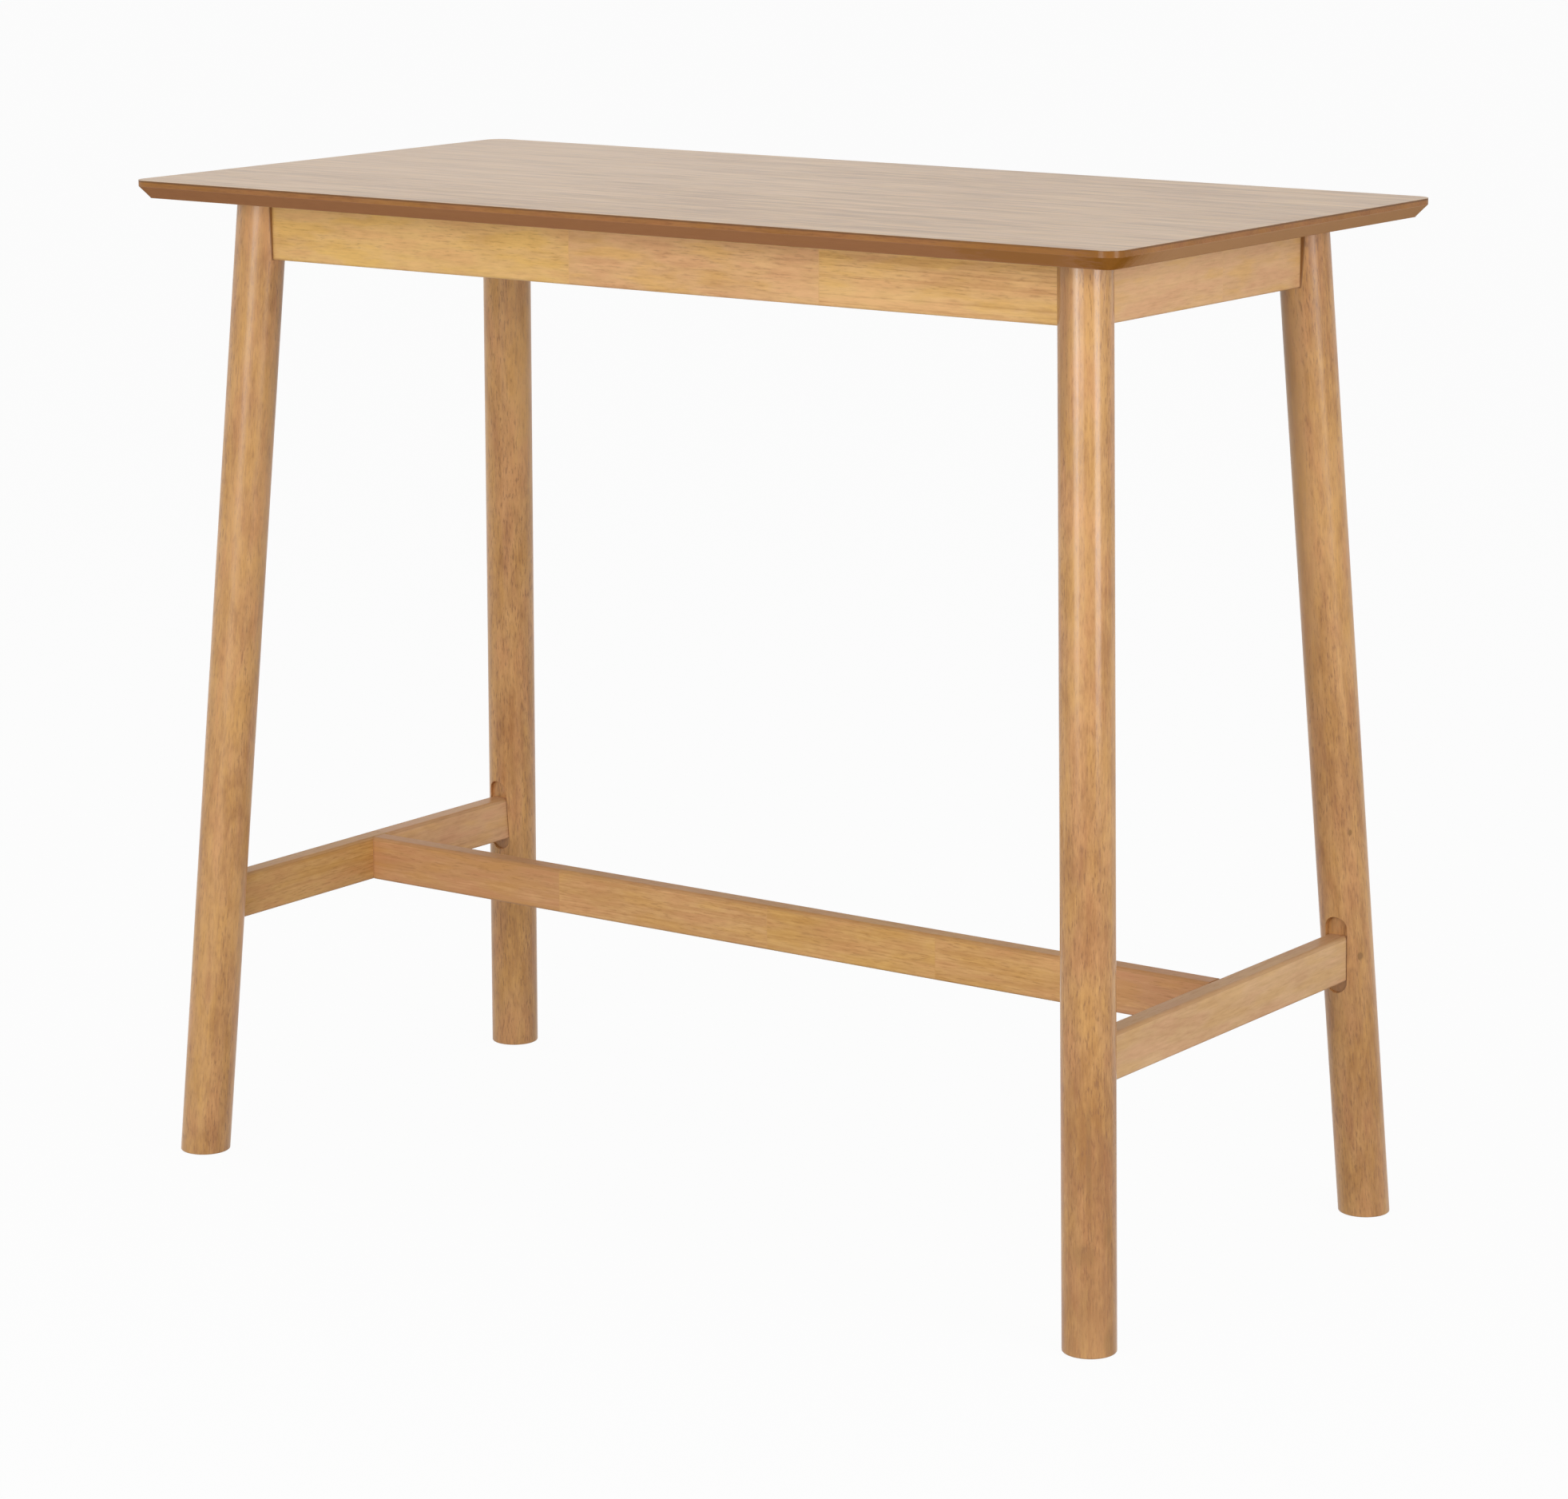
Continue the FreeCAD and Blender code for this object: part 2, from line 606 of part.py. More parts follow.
def add_centre_stretcher():
    body = new_body("centre_stretcher")
    section = sketch_on(body, "centre_stretcher_section", "YZ_Plane")
    side = "stretcher_thickness / 2"
    outline(section, (
        (f"-{side}", "0"),
        (side, "0"),
        (side, "stretcher_height"),
        (f"-{side}", "stretcher_height"),
    ))
    pad(body, section, "2 * centre_half_length", "Symmetric")
    ease(body, "long_edges", "stretcher_easing",
         lambda edge, bounds: edge.BoundBox.XLength > bounds.XLength / 2)
    bore(body, "dowels", "YZ_Plane", "centre_half_length", (
        ("0", "stretcher_height / 2 + stretcher_dowel_spread"),
        ("0", "stretcher_height / 2 - stretcher_dowel_spread"),
    ), "stretcher_dowel_diameter + fit", "stretcher_dowel_reach + dowel_room", mirror="YZ_Plane")
    bore(body, "stud", "YZ_Plane", "centre_half_length", (("0", "stretcher_height / 2"),),
         "stud_diameter + stud_clearance", "pocket_distance + pocket_diameter / 2 + dowel_room",
         mirror="YZ_Plane")
    pocket = "centre_half_length - pocket_distance"
    bore(body, "pockets", "XY_Plane", "0", ((pocket, "0"), (f"-({pocket})", "0")),
         "pocket_diameter", "stretcher_height / 2 + pocket_diameter / 2", True)
    place(body, z="stretcher_bottom")
    node("centre_stretcher", body)


add_centre_stretcher()


# Corner blocks: their own x and y run inwards from the leg axis, and z = 0 is the top's underside

def add_corner_block(corner, side_x, side_y, turn):
    name = corner + "_corner_block"
    body = new_body(name)
    sketch = sketch_on(body, name + "_outline", "XY_Plane")
    outline(sketch, (
        ("apron_inner", "block_near - apron_inner"),
        ("block_near - apron_inner", "apron_inner"),
        ("block_far - apron_inner", "apron_inner"),
        ("apron_inner", "block_far - apron_inner"),
    ))
    pad(body, sketch, "block_height", downwards=True)
    tools = [rod(name + "_hanger", "hanger_diameter + hanger_clearance",
                 "block_thickness + 2 * overrun", "block_near / 2 - overrun / sqrt(2)",
                 "block_near / 2 - overrun / sqrt(2)", "-apron_height / 2", ("-1", "1", "0"))]
    for part, x, y in (("a", "top_screw_far", "top_screw_near"), ("b", "top_screw_near", "top_screw_far")):
        tools.append(rod(f"{name}_top_screw_{part}", "top_screw_diameter + fit", "block_height + 2 * overrun",
                         x, y, "-block_height - overrun", ("0", "0", "1"), "0"))
        tools.append(rod(f"{name}_top_head_{part}", "top_screw_head + 2 * fit",
                         "block_height - top_screw_grip + overrun",
                         x, y, "-block_height - overrun", ("0", "0", "1"), "0"))
    head = "apron_inner + block_screw_grip"
    for level in ("upper", "lower"):
        height = "-block_screw_" + level
        for part, turned_to in (("hole", "block_screw_diameter + fit"), ("head", "block_screw_head + 2 * fit")):
            start = "apron_inner - overrun" if part == "hole" else head
            run = "block_thickness + 2 * overrun"
            label = f"{name}_screw_{level}_{part}"
            tools.append(rod(label + "_x", turned_to, run, "block_wing", start, height,
                             ("1", "0", "0"), "-90"))
            tools.append(rod(label + "_y", turned_to, run, start, "block_wing", height,
                             ("0", "1", "0"), "90"))
    item = cut(name + "_cut", body, tools)
    place(item, f"{side_x} * axis_x", f"{side_y} * axis_y", "underside", angle=f"{turn}")
    node(name, item)


for corner, side_x, side_y, turn in corners:
    add_corner_block(corner, side_x, side_y, turn)


# Foot glides: a disc with a stem, pressed into the foot

def add_glide(corner, side_x, side_y):
    name = corner + "_foot_glide"
    body = turned(name, (
        ("0", "0"),
        ("glide_diameter / 2 - glide_bevel", "0"),
        ("glide_diameter / 2", "glide_bevel"),
        ("glide_diameter / 2", "glide_thickness"),
        ("glide_stem_diameter / 2", "glide_thickness"),
        ("glide_stem_diameter / 2", "glide_thickness + glide_stem_length - glide_bevel"),
        ("glide_stem_diameter / 2 - glide_bevel", "glide_thickness + glide_stem_length"),
        ("0", "glide_thickness + glide_stem_length"),
    ))
    place(body, f"{side_x} * foot_half_length", f"{side_y} * foot_half_width")
    node(name, body)


for corner, side_x, side_y, turn in corners:
    add_glide(corner, side_x, side_y)


# Dowels

def dowel(name, diameter, length):
    return turned(name, (
        ("0", "0"),
        (f"{diameter} / 2 - dowel_bevel", "0"),
        (f"{diameter} / 2", "dowel_bevel"),
        (f"{diameter} / 2", f"{length} - dowel_bevel"),
        (f"{diameter} / 2 - dowel_bevel", length),
        ("0", length),
    ))


apron_dowel = dowel("apron_dowel", "apron_dowel_diameter", "apron_dowel_length")
seats = []
for level in (1, -1):
    height = f"-apron_height / 2 + {level} * apron_dowel_spread"
    start = "seat_offset - apron_dowel_length / 2"
    seats += corner_places(at(start, "0", height, (0, 1, 0), 90))
    seats += corner_places(at("0", start, height, (1, 0, 0), -90))
copies("apron_dowels", apron_dowel, seats)

stretcher_dowel = dowel("stretcher_dowel", "stretcher_dowel_diameter",
                        "(stretcher_dowel_bite + stretcher_dowel_reach)")


def stretcher_places(distance, height="stretcher_middle"):
    # Level places at both ends, pointing inwards, from the centre stretcher's end face.
    left = at(f"-centre_half_length + {distance}", "0", height, (0, 1, 0), 90)
    half_turn = FreeCAD.Placement(FreeCAD.Vector(), FreeCAD.Rotation(FreeCAD.Vector(0, 0, 1), 180))
    return [left, half_turn.multiply(left)]


seats = []
for level in (1, -1):
    seats += stretcher_places("(-stretcher_dowel_bite)",
                              f"stretcher_middle + {level} * stretcher_dowel_spread")
copies("stretcher_dowels", stretcher_dowel, seats)


# Wood screws: cylindrical head below z = 0, tapered point at the tip

def screw(name):
    radius = f"{name}_diameter / 2"
    return turned(name, (
        ("0", f"-{name}_head_height"),
        (f"{name}_head / 2", f"-{name}_head_height"),
        (f"{name}_head / 2", "0"),
        (radius, "0"),
        (radius, f"{name}_length - screw_point"),
        ("0", f"{name}_length"),
    ))


block_screw = screw("block_screw")
seats = []
for level in ("upper", "lower"):
    head = "apron_inner + block_screw_grip"
    height = "-block_screw_" + level
    seats += corner_places(at("block_wing", head, height, (1, 0, 0), 90))
    seats += corner_places(at(head, "block_wing", height, (0, 1, 0), -90))
copies("corner_block_screws", block_screw, seats)

top_screw = screw("top_screw")
copies("tabletop_screws", top_screw,
       corner_places(at("top_screw_far", "top_screw_near", "-top_screw_grip"))
       + corner_places(at("top_screw_near", "top_screw_far", "-top_screw_grip")))


# Hanger bolts with washer and nut: along the diagonal, inwards from the leg

def diagonal_places(distance):
    along = f"({distance}) / sqrt(2)"
    return corner_places(at(along, along, "-apron_height / 2", (-1, 1, 0), 90))


hanger = turned("hanger_bolt", (
    ("0", "hanger_start"),
    ("hanger_diameter / 2", "hanger_start + hanger_point"),
    ("hanger_diameter / 2", "hanger_end"),
    ("0", "hanger_end"),
))
copies("leg_hanger_bolts", hanger, diagonal_places("0"))

washer = turned("hanger_washer", (
    ("(hanger_diameter + fit) / 2", "0"),
    ("washer_diameter / 2", "0"),
    ("washer_diameter / 2", "washer_thickness"),
    ("(hanger_diameter + fit) / 2", "washer_thickness"),
))
copies("leg_bolt_washers", washer, diagonal_places("hanger_seat"))


def hexagon_nut(name, across, height, hole):
    block = document.addObject("Part::Prism", name + "_hexagon")
    block.Polygon = 6
    bind(block, Circumradius=f"{across} / sqrt(3)", Height=height)
    tool = rod(name + "_hole", f"{hole} + fit", f"{height} + 2 * overrun", "0", "0", "-overrun",
               ("0", "0", "1"), "0")
    return cut(name, block, [tool])


hanger_nut = hexagon_nut("hanger_nut", "hanger_nut_across", "hanger_nut_height", "hanger_diameter")
copies("leg_bolt_nuts", hanger_nut, diagonal_places("hanger_seat + washer_thickness"))


# Hidden joint of the centre stretcher: insert, stud, half-round washer and nut

insert = turned("stretcher_insert", (
    ("(stud_diameter + fit) / 2", "0"),
    ("insert_diameter / 2", "0"),
    ("insert_diameter / 2", "insert_length"),
    ("(stud_diameter + fit) / 2", "insert_length"),
))
copies("stretcher_inserts", insert, stretcher_places("(-insert_length)"))

stud_run = "insert_length + pocket_distance + stud_nut_height + stud_tail"
stud = turned("stretcher_stud", (
    ("0", "0"),
    ("stud_diameter / 2", "0"),
    ("stud_diameter / 2", stud_run),
    ("0", stud_run),
))
copies("stretcher_studs", stud, stretcher_places("(-insert_length)"))

half_moon_disc = document.addObject("Part::Cylinder", "half_moon_disc")
half_moon_disc.Angle = 180
bind(half_moon_disc, Radius="(pocket_diameter - fit) / 2", Height="half_moon_height")
place(half_moon_disc, z="-half_moon_height / 2", angle="90")
half_moon = cut("half_moon", half_moon_disc, [
    rod("half_moon_hole", "stud_diameter + stud_clearance", "pocket_diameter + overrun",
        "-pocket_diameter", "0", "0", ("0", "1", "0"))])
inwards = at("-centre_half_length + pocket_distance", "0", "stretcher_middle")
outwards = at("centre_half_length - pocket_distance", "0", "stretcher_middle", angle=180)
copies("half_moon_washers", half_moon, [inwards, outwards])

stud_nut = hexagon_nut("stud_nut", "stud_nut_across", "stud_nut_height", "stud_diameter")
copies("stretcher_nuts", stud_nut, stretcher_places("pocket_distance"))


# Angle brackets between the aprons and the top: y = 0 is the apron's inner face and z = 0
# the top's underside

bracket = new_body("bracket")
section = sketch_on(bracket, "bracket_section", "YZ_Plane")
outline(section, (
    ("0", "0"),
    ("0", "-bracket_leg"),
    ("bracket_thickness", "-bracket_leg"),
    ("bracket_thickness", "-bracket_thickness"),
    ("bracket_leg", "-bracket_thickness"),
    ("bracket_leg", "0"),
))
pad(bracket, section, "bracket_width", "Symmetric")


def at_bend(edge, bounds, depth):
    middle = edge.BoundBox.Center
    away = max(abs(middle.y - depth), abs(middle.z + depth))
    return edge.BoundBox.XLength > bounds.XLength / 2 and away < bounds.XLength / 1000


ease(bracket, "inside_bend", "bracket_bend",
     lambda edge, bounds: at_bend(edge, bounds, length_of("bracket_thickness")))
ease(bracket, "outside_bend", "bracket_bend + bracket_thickness",
     lambda edge, bounds: at_bend(edge, bounds, 0))
bore(bracket, "top_hole", "XY_Plane", "0", (("0", "bracket_hole_distance"),),
     "bracket_screw_diameter + fit", "bracket_thickness + overrun")
bore(bracket, "apron_hole", "XZ_Plane", "0", (("0", "-bracket_hole_distance"),),
     "bracket_screw_diameter + fit", "bracket_thickness + overrun")


def bracket_places(local):
    result = []
    for x, y, turn in (
        ("bracket_offset", "-axis_y + apron_inner", 0),
        ("-bracket_offset", "-axis_y + apron_inner", 0),
        ("bracket_offset", "axis_y - apron_inner", 180),
        ("-bracket_offset", "axis_y - apron_inner", 180),
        ("axis_x - apron_inner", "0", 90),
        ("-axis_x + apron_inner", "0", 270),
    ):
        result.append(at(x, y, "underside", angle=turn).multiply(local))
    return result


copies("top_brackets", bracket, bracket_places(FreeCAD.Placement()))
bracket_screw = screw("bracket_screw")
copies("bracket_apron_screws", bracket_screw,
       bracket_places(at("0", "bracket_thickness", "-bracket_hole_distance", (1, 0, 0), 90)))
copies("bracket_top_screws", bracket_screw,
       bracket_places(at("0", "bracket_hole_distance", "-bracket_thickness")))


# Checks, then one file for each node

document.recompute()
for item in document.Objects:
    if "Invalid" in item.State or "Error" in item.State:
        raise ValueError(item.Label + " failed")
for name, item in nodes.items():
    shape = item.Shape
    if shape.isNull() or not shape.isValid() or not shape.Solids:
        raise ValueError(name + " has no sound solid")
    shape.exportStep(os.path.join("parts", name + ".step"))
    print(f"{name}: {len(shape.Solids)} solid(s), {shape.Volume / 1000:.1f} cm3")
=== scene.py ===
import math

import bpy
from mathutils import Matrix, Vector


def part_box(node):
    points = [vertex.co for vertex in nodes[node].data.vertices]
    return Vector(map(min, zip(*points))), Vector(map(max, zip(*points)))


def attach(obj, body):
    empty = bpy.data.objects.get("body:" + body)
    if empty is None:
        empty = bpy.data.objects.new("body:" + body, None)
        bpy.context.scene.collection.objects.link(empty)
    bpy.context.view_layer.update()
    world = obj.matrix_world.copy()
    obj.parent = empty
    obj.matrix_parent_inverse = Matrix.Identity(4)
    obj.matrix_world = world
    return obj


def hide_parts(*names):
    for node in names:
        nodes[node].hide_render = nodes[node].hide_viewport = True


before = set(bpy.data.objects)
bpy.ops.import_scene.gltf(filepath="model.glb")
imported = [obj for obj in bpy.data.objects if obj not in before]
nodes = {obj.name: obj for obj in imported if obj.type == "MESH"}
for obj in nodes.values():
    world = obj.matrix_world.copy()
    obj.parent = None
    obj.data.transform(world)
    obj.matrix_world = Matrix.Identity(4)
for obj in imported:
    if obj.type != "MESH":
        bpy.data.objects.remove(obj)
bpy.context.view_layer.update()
scene = bpy.context.scene
scene.view_settings.view_transform = "Standard"
print("frame loaded:", len(nodes), "nodes")


class Sock:
    # one socket of a shader tree; sums on it add Math nodes
    def __init__(self, socket):
        self.socket = socket

    def node(self, kind, settings=None, inputs=None, output=0):
        return addNode(self.socket.id_data, kind, settings, inputs, output)

    def maths(self, operation, first, second=0.0):
        return self.node("ShaderNodeMath", {"operation": operation}, {0: first, 1: second})

    def __add__(self, other):
        return self.maths("ADD", self, other)

    def __radd__(self, other):
        return self.maths("ADD", other, self)

    def __sub__(self, other):
        return self.maths("SUBTRACT", self, other)

    def __rsub__(self, other):
        return self.maths("SUBTRACT", other, self)

    def __mul__(self, other):
        return self.maths("MULTIPLY", self, other)

    def __rmul__(self, other):
        return self.maths("MULTIPLY", other, self)

    def __truediv__(self, other):
        return self.maths("DIVIDE", self, other)

    def __pow__(self, other):
        return self.maths("POWER", self, other)

    def least(self, other):
        return self.maths("MINIMUM", self, other)

    def most(self, other):
        return self.maths("MAXIMUM", self, other)

    def size(self):
        return self.maths("ABSOLUTE", self)

    def swing(self, share):
        # a noise's distance from its middle, times share
        return (self - 0.5) * share

    def ramp(self, start, end, low=0.0, high=1.0):
        # eases from low to high while the value goes from start to end
        return self.node("ShaderNodeMapRange", {"interpolation_type": "SMOOTHSTEP"},
                         {"Value": self, "From Min": start, "From Max": end, "To Min": low, "To Max": high})

    def noise(self, scale, detail=2.0, roughness=0.5, distortion=0.0):
        return self.node("ShaderNodeTexNoise", {"noise_dimensions": "3D"},
                         {"Vector": self, "Scale": scale, "Detail": detail, "Roughness": roughness,
                          "Distortion": distortion})

    def stretched(self, across, along):
        # a vector with its third axis along the grain
        return self.node("ShaderNodeVectorMath", {"operation": "MULTIPLY"},
                         {0: self, 1: (across, across, along)})

    def shifted(self, other):
        return self.node("ShaderNodeVectorMath", {"operation": "ADD"}, {0: self, 1: other})

    def parts(self):
        split = self.node("ShaderNodeSeparateXYZ", None, {0: self}, None)
        return [Sock(socket) for socket in split.outputs]

    def blend(self, first, second, way="MIX"):
        # the value is the share of the second colour
        return self.node("ShaderNodeMix", {"data_type": "RGBA", "blend_type": way},
                         {"Factor_Float": self, "A_Color": first, "B_Color": second}, "Result_Color")


def findSocket(sockets, key):
    if isinstance(key, int):
        return sockets[key]
    return next(socket for socket in sockets if key in (socket.identifier, socket.name) and socket.enabled)


def addNode(tree, kind, settings=None, inputs=None, output=0):
    made = tree.nodes.new(kind)
    for name, value in (settings or {}).items():
        setattr(made, name, value)
    for key, value in (inputs or {}).items():
        socket = findSocket(made.inputs, key)
        if isinstance(value, (Sock, list)):
            for one in value if isinstance(value, list) else [value]:
                tree.links.new(one.socket, socket)
        elif socket.type == "RGBA":
            socket.default_value = (*value[:3], 1.0)
        else:
            socket.default_value = value
    return made if output is None else Sock(findSocket(made.outputs, output))


def newMaterial(name):
    material = bpy.data.materials.new(name)
    material.use_nodes = True
    material.node_tree.nodes.clear()
    return material, material.node_tree


def finishSurface(tree, shader):
    # shader holds the values and links of the Principled sockets
    surface = addNode(tree, "ShaderNodeBsdfPrincipled", None, shader)
    addNode(tree, "ShaderNodeOutputMaterial", None, {"Surface": surface}, None)


def giveMaterial(node, material):
    mesh = nodes[node].data
    mesh.materials.clear()
    mesh.materials.append(material)


# camera, placed by the photograph's own edges

camera = {
    "place": (2.846157, -3.918553, 1.517433),
    "yaw": 2.1960763,
    "pitch": 0.2136106,
    "roll": 0.0025448,
    "lens": 109.23,
    "sensor": 36.0,
    "reach": 200.0,
}


def placeCamera(view):
    ahead = Vector((math.cos(view["yaw"]) * math.cos(view["pitch"]),
                    math.sin(view["yaw"]) * math.cos(view["pitch"]), -math.sin(view["pitch"])))
    level = Vector((math.sin(view["yaw"]), -math.cos(view["yaw"]), 0.0))
    down = ahead.cross(level)
    right = math.cos(view["roll"]) * level + math.sin(view["roll"]) * down
    lower = math.cos(view["roll"]) * down - math.sin(view["roll"]) * level
    data = bpy.data.cameras.new("camera")
    data.sensor_width = view["sensor"]
    data.lens = view["lens"]
    data.clip_end = view["reach"]
    made = bpy.data.objects.new("camera", data)
    turn = Matrix((right, -lower, -ahead)).transposed()
    made.matrix_world = Matrix.Translation(Vector(view["place"])) @ turn.to_4x4()
    scene.collection.objects.link(made)
    scene.camera = made


placeCamera(camera)
print("camera placed")

# studio: plain floor, even surroundings and soft lamps

studio = {
    "glow": (1.0, 1.0, 1.0),
    "white": 0.985,
    "surroundLevel": 0.40,
    "floorColour": (0.52, 0.52, 0.51),
    "floorGlow": 0.96,
    "floorWhite": 1.0,
    "floorReach": 60.0,
    "lamps": [
        {"name": "tallLeft", "place": (0.10, -2.70, 1.25), "aim": (0.10, 0.0, 1.1), "size": (0.95, 1.5),
         "power": 18.5},
        {"name": "tallRight", "place": (2.58, -0.62, 1.25), "aim": (0.5, -0.2, 1.1), "size": (0.90, 1.5),
         "power": 22.0},
        {"name": "softFront", "place": (1.0, -4.4, 1.65), "aim": (0.0, 0.0, 0.8), "size": (2.4, 1.8),
         "power": 46.0},
        {"name": "softLeft", "place": (-3.8, -0.8, 1.9), "aim": (0.0, 0.0, 0.7), "size": (1.8, 1.6),
         "power": 24.0},
        {"name": "softRight", "place": (4.2, 0.8, 1.6), "aim": (0.0, 0.0, 0.7), "size": (1.8, 1.6),
         "power": 10.0},
        {"name": "softBack", "place": (1.6, 4.2, 2.3), "aim": (0.0, 0.0, 0.7), "size": (2.2, 1.6),
         "power": 16.0},
        {"name": "overhead", "place": (-0.3, 0.0, 3.3), "aim": (-0.3, 0.0, 0.5), "size": (2.0, 2.2),
         "power": 17.0},
    ],
}


def seenDirectly(tree):
    # camera, mirror and see-through rays meet plain white
    path = addNode(tree, "ShaderNodeLightPath", None, None, None)
    rays = [Sock(path.outputs[name]) for name in ("Is Camera Ray", "Is Glossy Ray", "Is Transmission Ray")]
    return rays[0].most(rays[1]).most(rays[2])


def buildStudio(values):
    world = bpy.data.worlds.new("surroundings")
    world.use_nodes = True
    tree = world.node_tree
    tree.nodes.clear()
    level = seenDirectly(tree).ramp(0.0, 1.0, values["surroundLevel"], values["white"])
    light = addNode(tree, "ShaderNodeBackground", None, {"Color": values["glow"], "Strength": level})
    addNode(tree, "ShaderNodeOutputWorld", None, {"Surface": light}, None)
    scene.world = world

    reach = values["floorReach"]
    mesh = bpy.data.meshes.new("floor")
    mesh.from_pydata([(-reach, -reach, 0.0), (reach, -reach, 0.0), (reach, reach, 0.0),
                      (-reach, reach, 0.0)], [], [(0, 1, 2, 3)])
    floor = bpy.data.objects.new("floor", mesh)
    scene.collection.objects.link(floor)
    material, tree = newMaterial("paleFloor")
    plain = addNode(tree, "ShaderNodeBsdfDiffuse", None, {"Color": values["floorColour"]})
    glow = addNode(tree, "ShaderNodeEmission", None,
                   {"Color": values["glow"], "Strength": values["floorWhite"]})
    share = seenDirectly(tree) * values["floorGlow"]
    surface = addNode(tree, "ShaderNodeMixShader", None, {0: share, 1: plain, 2: glow})
    addNode(tree, "ShaderNodeOutputMaterial", None, {"Surface": surface}, None)
    mesh.materials.append(material)

    for lamp in values["lamps"]:
        data = bpy.data.lights.new(lamp["name"], "AREA")
        data.shape = "RECTANGLE"
        data.size, data.size_y = lamp["size"]
        data.energy = lamp["power"]
        made = bpy.data.objects.new(lamp["name"], data)
        place = Vector(lamp["place"])
        made.location = place
        made.rotation_euler = (Vector(lamp["aim"]) - place).to_track_quat("-Z", "Y").to_euler()
        made.visible_camera = False
        scene.collection.objects.link(made)


buildStudio(studio)
print("studio lit")

# wood: one function for all boards and legs, each with its own plank

glueLine = 0.0004  # half the width of a stave's joint
# fades the sides of every tinted box, stains and painted shade and light alike, and the coat's lower edge
boxBlur = 0.0003  # over which a stain's side fades
patternStep = {"seed": 7.3, "stave": 3.71}  # how far off another piece of wood takes its pattern

layers = {  # detail and roughness of each noise in the wood's figure
    "cloud": (3.0, 0.6),
    "mottle": (3.0, 0.65),
    "streak": (2.0, 0.5),
    "fleck": (2.0, 0.6),
    "hue": (2.0, 0.5),
    "patch": (1.0, 0.5),
    "bend": (1.0, 0.5),
    "vein": (1.5, 0.5),
}

plankDefaults = {  # a Size is a noise's scale across and along the grain, a Reach what a ramp runs over
    "pale": (0.76, 0.465, 0.185),
    "dark": (0.58, 0.31, 0.11),
    "darkReach": (-0.15, 1.15),
    "pore": (0.24, 0.105, 0.038),
    "hueSize": (60.0, 14.0),
    "golden": 0.5,
    "goldenTint": (1.0, 0.97, 0.62),
    "goldenReach": (0.48, 0.66),
    "rosy": 0.5,
    "rosyTint": (1.0, 0.90, 0.98),
    "rosyReach": (0.52, 0.34),
    "redTint": (0.97, 0.91, 1.45),
    "tone": 0.42,
    # darker towards a leg's foot: partly the wood's own tone, partly painted shade where the lower legs are
    # lit less
    "footShade": 0.0,
    "footReach": (0.7, 0.05),
    "cloud": 0.9,
    "cloudSize": (26.0, 8.0),
    "mottle": 0.8,
    "mottleSize": (110.0, 35.0),
    "mottleLeast": 0.4,
    "streak": 0.5,
    "streakSize": (420.0, 12.0),
    "flecks": 0.8,
    "fleckSize": (560.0, 65.0),
    "patch": 0.12,
    "patchSize": (28.0, 2.5),
    "patchReach": (0.40, 0.60),
    "pores": 0.16,
    "poreReach": (0.55, 0.68),
    "poreLeast": 0.35,
    "lines": 0.1,
    "lineMiddle": 0.4,
    "lineReach": (0.3, 0.7),
    "ringWidth": 0.0045,
    "ringMottle": 0.5,
    "ringRise": (0.25, 0.9),
    "ringFall": (0.9, 1.0),
    "pith": (0.06, 0.045),
    "wander": 0.035,
    "bendSize": (9.0, 3.5),
    "veins": 0.0,
    "veinSize": (150.0, 2.0),
    "veinReach": (0.07, 0.0),
    "edge": 0.25,
    "edgeReach": (0.0004, 0.003),
    "staves": (),
    "stainsAndShading": (),
    "marks": (),
    "markMottle": 1.6,
    "markFlecks": 0.8,
    "markReach": (1.0, 0.3),
    "seed": 0.0,
    "roughness": 0.46,
    "roughClouds": 0.2,
    "roughPores": 0.2,
    "specular": 0.05,
    "coat": 0.35,
    "coatLevel": 0.85,
    "coatFlecks": 0.9,
    "coatStreaks": 0.6,
    "coatRoughness": 0.22,
    "coatIor": 1.5,
    "coatAbove": None,
    "grainStrength": 0.4,
    "grainDepth": 0.00008,
    "grainFlecks": 0.6,
    "grainPores": 0.8,
    "grainStreaks": 0.5,
}


def grainTurn(direction):
    # the turn that brings the pattern's third axis along the grain
    return Vector(direction).to_track_quat("Z", "Y").to_euler()


def growthLines(plank, across, upward, figure):
    # year rings about the plank's pith, each darkening slowly and ending sharply
    wander = figure["bend"].swing(plank["wander"])
    aside = across - plank["pith"][0] + wander
    above = upward - plank["pith"][1] + wander
    radius = (aside * aside + above * above) ** 0.5 / plank["ringWidth"]
    radius = radius + figure["mottle"].swing(plank["ringMottle"])
    ring = radius.maths("FRACT", radius)
    strength = plank["lineMiddle"] + figure["cloud"].ramp(*plank["lineReach"])
    return ring.ramp(*plank["ringRise"]) * (1.0 - ring.ramp(*plank["ringFall"])) * strength


def edgeWear(plank, places, halfSize):
    # full along a board's edges, where two of its faces are near
    gaps = [half - value.size() for half, value in zip(halfSize, places)]
    near = gaps[0].least(gaps[1]).most(gaps[0].most(gaps[1]).least(gaps[2]))
    return 1.0 - near.ramp(*plank["edgeReach"])


def addStainsAndShading(colour, places, stainsAndShading):
    # places given by a box and painted another colour: dark edge lines, paler steps and painted light on
    # the rim's undercut, darker stretcher tops, and milled seats and housings darkened partly with painted
    # shade
    for tintBox in stainsAndShading:
        inside = 1.0
        for value, low, high in zip(places, tintBox["low"], tintBox["high"]):
            if low is not None:
                inside = inside * value.ramp(low - boxBlur, low)
            if high is not None:
                inside = inside * (1.0 - value.ramp(high, high + boxBlur))
        colour = (inside * tintBox["share"]).blend(colour, tintBox["colour"])
    return colour


